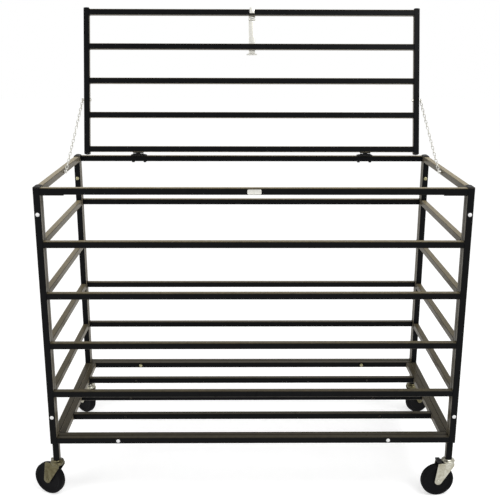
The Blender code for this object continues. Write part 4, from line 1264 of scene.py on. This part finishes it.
@dataclass
class Caster(Fitting):
    """One swivel caster: race and stem on the frame, fork, wheel, and a pedal where it has one."""

    label: str
    wheel_radius: float = 0.0508
    wheel_half: float = 0.0120
    hub_half: float = 0.0132
    axle: float = 0.0041
    fork_inner: float = 0.0138
    fork_plate: float = 0.0025
    fork_end: float = 0.0115
    fork_top: float = 0.1110
    yoke_z: float = 0.1050
    yoke_thick: float = 0.0025
    crown: float = 0.0185
    crown_top: float = 0.1130
    race: float = 0.0205
    kingpin: float = 0.0050
    kingpin_head: float = 0.0080
    leg_end: float = 0.1210
    stem_plug: float = 0.0450
    pedal_t: float = 0.0228
    pedal_z: float = 0.1071
    pedal_pin: float = 0.0020
    axle_head: float = 0.0028
    bright: tuple[str, ...] = ("front_right", "rear_left")

    def __post_init__(self) -> None:
        """Read the caster's place and heading from its joints, and pick its plating."""
        self.plate = BRIGHT_FORK if self.label in self.bright else PASSIVATED
        swivel, roll = self.layout.spot(f"swivel_{self.label}"), self.layout.spot(f"roll_{self.label}")
        self.braked = f"brake_{self.label}" in self.layout.joints
        self.trail = hypot(roll.x - swivel.x, roll.y - swivel.y)
        heading = atan2(roll.y - swivel.y, roll.x - swivel.x)
        self.foot = Matrix.Translation((swivel.x, swivel.y, 0))
        self.swivel = self.foot @ Matrix.Rotation(heading, 4, "Z")

    def build(self) -> None:
        """Build every piece of the caster."""
        self._stem()
        self._fork()
        self._wheel()
        if self.braked:
            self._pedal()

    def _stem(self) -> None:
        """Build the upper race, the kingpin and the square insert in the leg."""
        top, r, z = self.leg_end - GAP, self.race, self.crown_top
        yoke, head = self.yoke_z, self.kingpin_head
        profile = [(head * 0.6, yoke - 0.0047), (head * 0.9, yoke - 0.0040), (head, yoke - 0.0028),
                   (head, yoke - GAP), (self.kingpin, yoke - GAP), (self.kingpin, z + GAP), (r - 0.0016, z + GAP),
                   (r - 0.0004, z + 0.0010), (r, z + 0.0020), (r - 0.0002, z + 0.0028), (r - 0.0012, z + 0.0038),
                   (r - 0.0045, z + 0.0046), (0.0150, z + 0.0052), (0.0132, z + 0.0060), (0.0120, top),
                   (0.0060, top), (0.0060, top + 0.002)]
        insert = prism(rounded_square(HALF - WALL - GAP, 0.0010), self.leg_end + 0.001,
                       self.leg_end + self.stem_plug)
        made = mesh_object(f"caster_stem_{self.label}_visual", [turned(profile, segments=56), insert], self.foot)
        self.paint.finish(made, self.plate, Body.FRAME, f"caster_stem_{self.label}", angle=35)

    def _side_outline(self) -> list[Point]:
        """Return the side plate's outline in trail and height."""
        r, axle_z = self.fork_end, self.wheel_radius
        end = [(self.trail + r * cos(radians(a)), axle_z + r * sin(radians(a))) for a in range(10, -151, -10)]
        return [(-0.0160, self.fork_top - 0.0020), (-0.0152, self.fork_top - 0.0104), *end[::-1],
                (self.trail + 0.0040, self.fork_top - 0.0060), (self.trail + 0.0032, self.fork_top - 0.0022),
                (self.trail + 0.0010, self.fork_top), (-0.0140, self.fork_top)]

    def _fork(self) -> None:
        """Build the crown, the yoke, the two side plates and the riveted axle."""
        outer = self.fork_inner + self.fork_plate
        z, r, bore = self.yoke_z, self.crown, self.kingpin + GAP
        ring = [(bore, z), (r - 0.0024, z), (r - 0.0008, z + 0.0012), (r, z + 0.0030), (r + 0.0008, z + 0.0056),
                (r + 0.0010, self.crown_top - 0.0008), (r + 0.0004, self.crown_top), (bore, self.crown_top)]
        back = 0.0150 if self.braked else self.trail - 0.0050
        builders = [block((-0.0150, -outer + 0.0004, z + 0.0002), (back, outer - 0.0004, z + self.yoke_thick))]
        builders += [prism(self._side_outline(), s, s + self.fork_plate, UPRIGHT) for s in (self.fork_inner, -outer)]
        plates = drilled(mesh_object("fork_plates", builders), [rod(bore, (0, 0, z - 0.01), (0, 0, z + 0.02), 40)])
        plates = softened(plates, 0.0007, 3)
        head = [(0.0022, 1), (0.0042, 0.92), (0.0058, 0.62), (0.0065, 0.25), (0.0065, 0)]
        axle = [(wide, -outer - self.axle_head * out) for wide, out in head]
        axle += [(self.axle, -outer), (self.axle, outer)]
        axle += [(wide, outer + self.axle_head * out) for wide, out in head[::-1]]
        made = mesh_object(f"caster_fork_{self.label}_visual", [
            turned(ring, segments=56, hollow=True),
            turned(axle, Matrix.Translation((self.trail, 0, self.wheel_radius)) @ UPRIGHT, 32)])
        self.paint.finish(merged(made, plates, self.swivel), self.plate, f"fork_{self.label}",
                          f"caster_fork_{self.label}", angle=35)

    def _wheel(self) -> None:
        """Build the moulded wheel with a rounded tread, dished sides and a hub."""
        r, half, hub, bore = self.wheel_radius, self.wheel_half, self.hub_half, self.axle + GAP
        side = [(bore, hub), (0.0088, hub), (0.0100, hub - 0.0004), (0.0108, hub - 0.0012), (0.0112, half - 0.0018),
                (0.0122, half - 0.0025), (0.0366, half - 0.0025), (0.0382, half - 0.0021), (0.0390, half - 0.0008),
                (0.0402, half - 0.0002), (0.0416, half), (0.0458, half), (0.0477, half - 0.0006),
                (0.0491, half - 0.0020), (0.0501, half - 0.0040), (r - 0.0001, half - 0.0062), (r, 0.0010),
                (r - 0.00015, 0.0003)]
        profile = side + [(radius, -y) for radius, y in side[::-1]]
        place = self.swivel @ Matrix.Translation((self.trail, 0, r)) @ UPRIGHT
        made = mesh_object(f"caster_wheel_{self.label}_visual", [turned(profile, segments=80, hollow=True)], place)
        self.paint.finish(made, RUBBER, f"wheel_{self.label}", f"caster_wheel_{self.label}", angle=30)

    def _pedal(self) -> None:
        """Build the toe pedal with grip bars across its top."""
        outline = [(-0.0022, -0.0025), (0.0060, -0.0028), (0.0100, 0.0004), (0.0126, 0.0030), (0.0150, 0.0090),
                   (0.0146, 0.0104), (0.0125, 0.0120), (0.0014, 0.0110), (0.0006, 0.0100), (0.0004, 0.0052),
                   (-0.0022, 0.0045)]
        tread = softened(mesh_object("pedal_tread", [prism(outline, -0.0125, 0.0125, UPRIGHT)]), 0.0006, 3, 30)
        barrel = self.fork_inner - 2 * GAP
        end = self.fork_inner + self.fork_plate - GAP
        builders = [rod(0.0030, (0, -barrel, 0), (0, barrel, 0), 24, 0.0003),
                    rod(self.pedal_pin, (0, -end, 0), (0, end, 0), 20)]
        for k in range(4):
            x, z = 0.0028 + 0.0026 * k, 0.0111 + 0.00022 * k
            builders.append(rod(0.0005, (x, -0.0115, z), (x, 0.0115, z), 10))
        place = self.swivel @ Matrix.Translation((self.pedal_t, 0, self.pedal_z))
        made = merged(tread, mesh_object("pedal_more", builders), place)
        made.name = f"brake_pedal_{self.label}_visual"
        self.paint.finish(made, MOULDED, f"pedal_{self.label}", f"brake_pedal_{self.label}", angle=35)


@dataclass
class Studio:
    """A pale floor, soft light, a white surround and the camera of the photograph."""

    layout: Layout
    camera_from_front: tuple[float, float, float] = (-0.0351, -2.1534, 1.3918)
    pitch: float = 15.53
    yaw: float = 0.62
    roll: float = 0.16
    lens: float = 57.3
    floor_glow: float = 0.50
    daylight: float = 0.62
    floor_half: float = 14.0

    def build(self) -> None:
        """Build the whole studio."""
        self._floor()
        self._world()
        self._lamps()
        self._camera()
        bpy.context.scene.view_settings.view_transform = "Standard"

    @staticmethod
    def _seen(tree: Tree) -> Socket:
        """Return 1 for what the camera, a reflection or a refraction sees, and 0 for light."""
        rays = add(tree, "ShaderNodeLightPath")
        eye = maths(tree, "MAXIMUM", rays["Is Camera Ray"], rays["Is Glossy Ray"])
        return maths(tree, "MAXIMUM", eye, rays["Is Transmission Ray"])

    def _floor(self) -> None:
        """Lay a floor that looks white and keeps the locker's shadow."""
        size = self.floor_half
        floor = mesh_object("studio_floor", [block((-size, -size, -0.05), (size, size, -0.0005))])
        material = bpy.data.materials.new("studio_floor")
        material.use_nodes = True
        tree = material.node_tree
        put(tree.nodes["Principled BSDF"], {
            "Base Color": (0.8, 0.8, 0.8, 1), "Roughness": 0.9, "Specular IOR Level": 0.1,
            "Emission Color": (1, 1, 1, 1),
            "Emission Strength": maths(tree, "MULTIPLY", self._seen(tree), self.floor_glow)})
        floor.data.materials.append(material)

    def _world(self) -> None:
        """Make a surround that is white to the eye and in reflections, and softer as light."""
        world = bpy.data.worlds.new("studio_world")
        bpy.context.scene.world = world
        world.use_nodes = True
        tree = world.node_tree
        level = add(tree, "ShaderNodeMapRange", {"Value": self._seen(tree), "To Min": self.daylight, "To Max": 1.0})
        put(tree.nodes["Background"], {"Color": (1, 1, 1, 1), "Strength": level["Result"]})

    def _lamps(self) -> None:
        """Hang two soft lamps, one high in front to the right and one low fill on the left."""
        aim = Vector((0, 0, 0.6))
        for name, spot, size, power in (("key", (1.6, -1.8, 3.4), 2.4, 70), ("fill", (-2.6, -2.2, 1.8), 2.0, 28)):
            lamp = bpy.data.lights.new(f"studio_{name}", "AREA")
            lamp.energy = power
            lamp.size = size
            turn = (aim - Vector(spot)).to_track_quat("-Z", "Y").to_matrix().to_4x4()
            placed(f"studio_{name}", lamp, Matrix.Translation(spot) @ turn)

    def _camera(self) -> None:
        """Set the camera that was fitted to the photograph's straight tubes."""
        x, y, z = self.camera_from_front
        a, b, c = radians(self.pitch), radians(self.yaw), radians(self.roll)
        ahead = Vector((sin(b) * cos(a), cos(b) * cos(a), -sin(a)))
        right = Vector((cos(b), -sin(b), 0))
        up = right.cross(ahead)
        right, up = right * cos(c) + up * sin(c), up * cos(c) - right * sin(c)
        turn = Matrix((right, up, -ahead)).transposed().to_4x4()
        data = bpy.data.cameras.new("photo_camera")
        data.lens = self.lens
        data.sensor_width = 36.0
        place = Matrix.Translation((x, y + self.layout.front, z)) @ turn
        bpy.context.scene.camera = placed("photo_camera", data, place)


def main() -> None:
    """Build the locker's visual model and its studio."""
    logging.basicConfig(level=logging.INFO, format="%(name)s: %(message)s")
    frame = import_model()
    layout = Layout.read(frame["record"])
    Studio(layout).build()
    paint, nodes = Paint(), NodeTools()
    tubes = TubeWork(layout, paint, nodes)
    tubes.dress(frame["nodes"])
    tubes.weld()
    for fitting in (EndCaps, PanelBolts, LidHinges, Hasp, StayChains):
        fitting(layout, paint, nodes).build()
    for label in ("front_left", "front_right", "rear_left", "rear_right"):
        Caster(layout, paint, nodes, label).build()


if __name__ == "__main__":
    main()
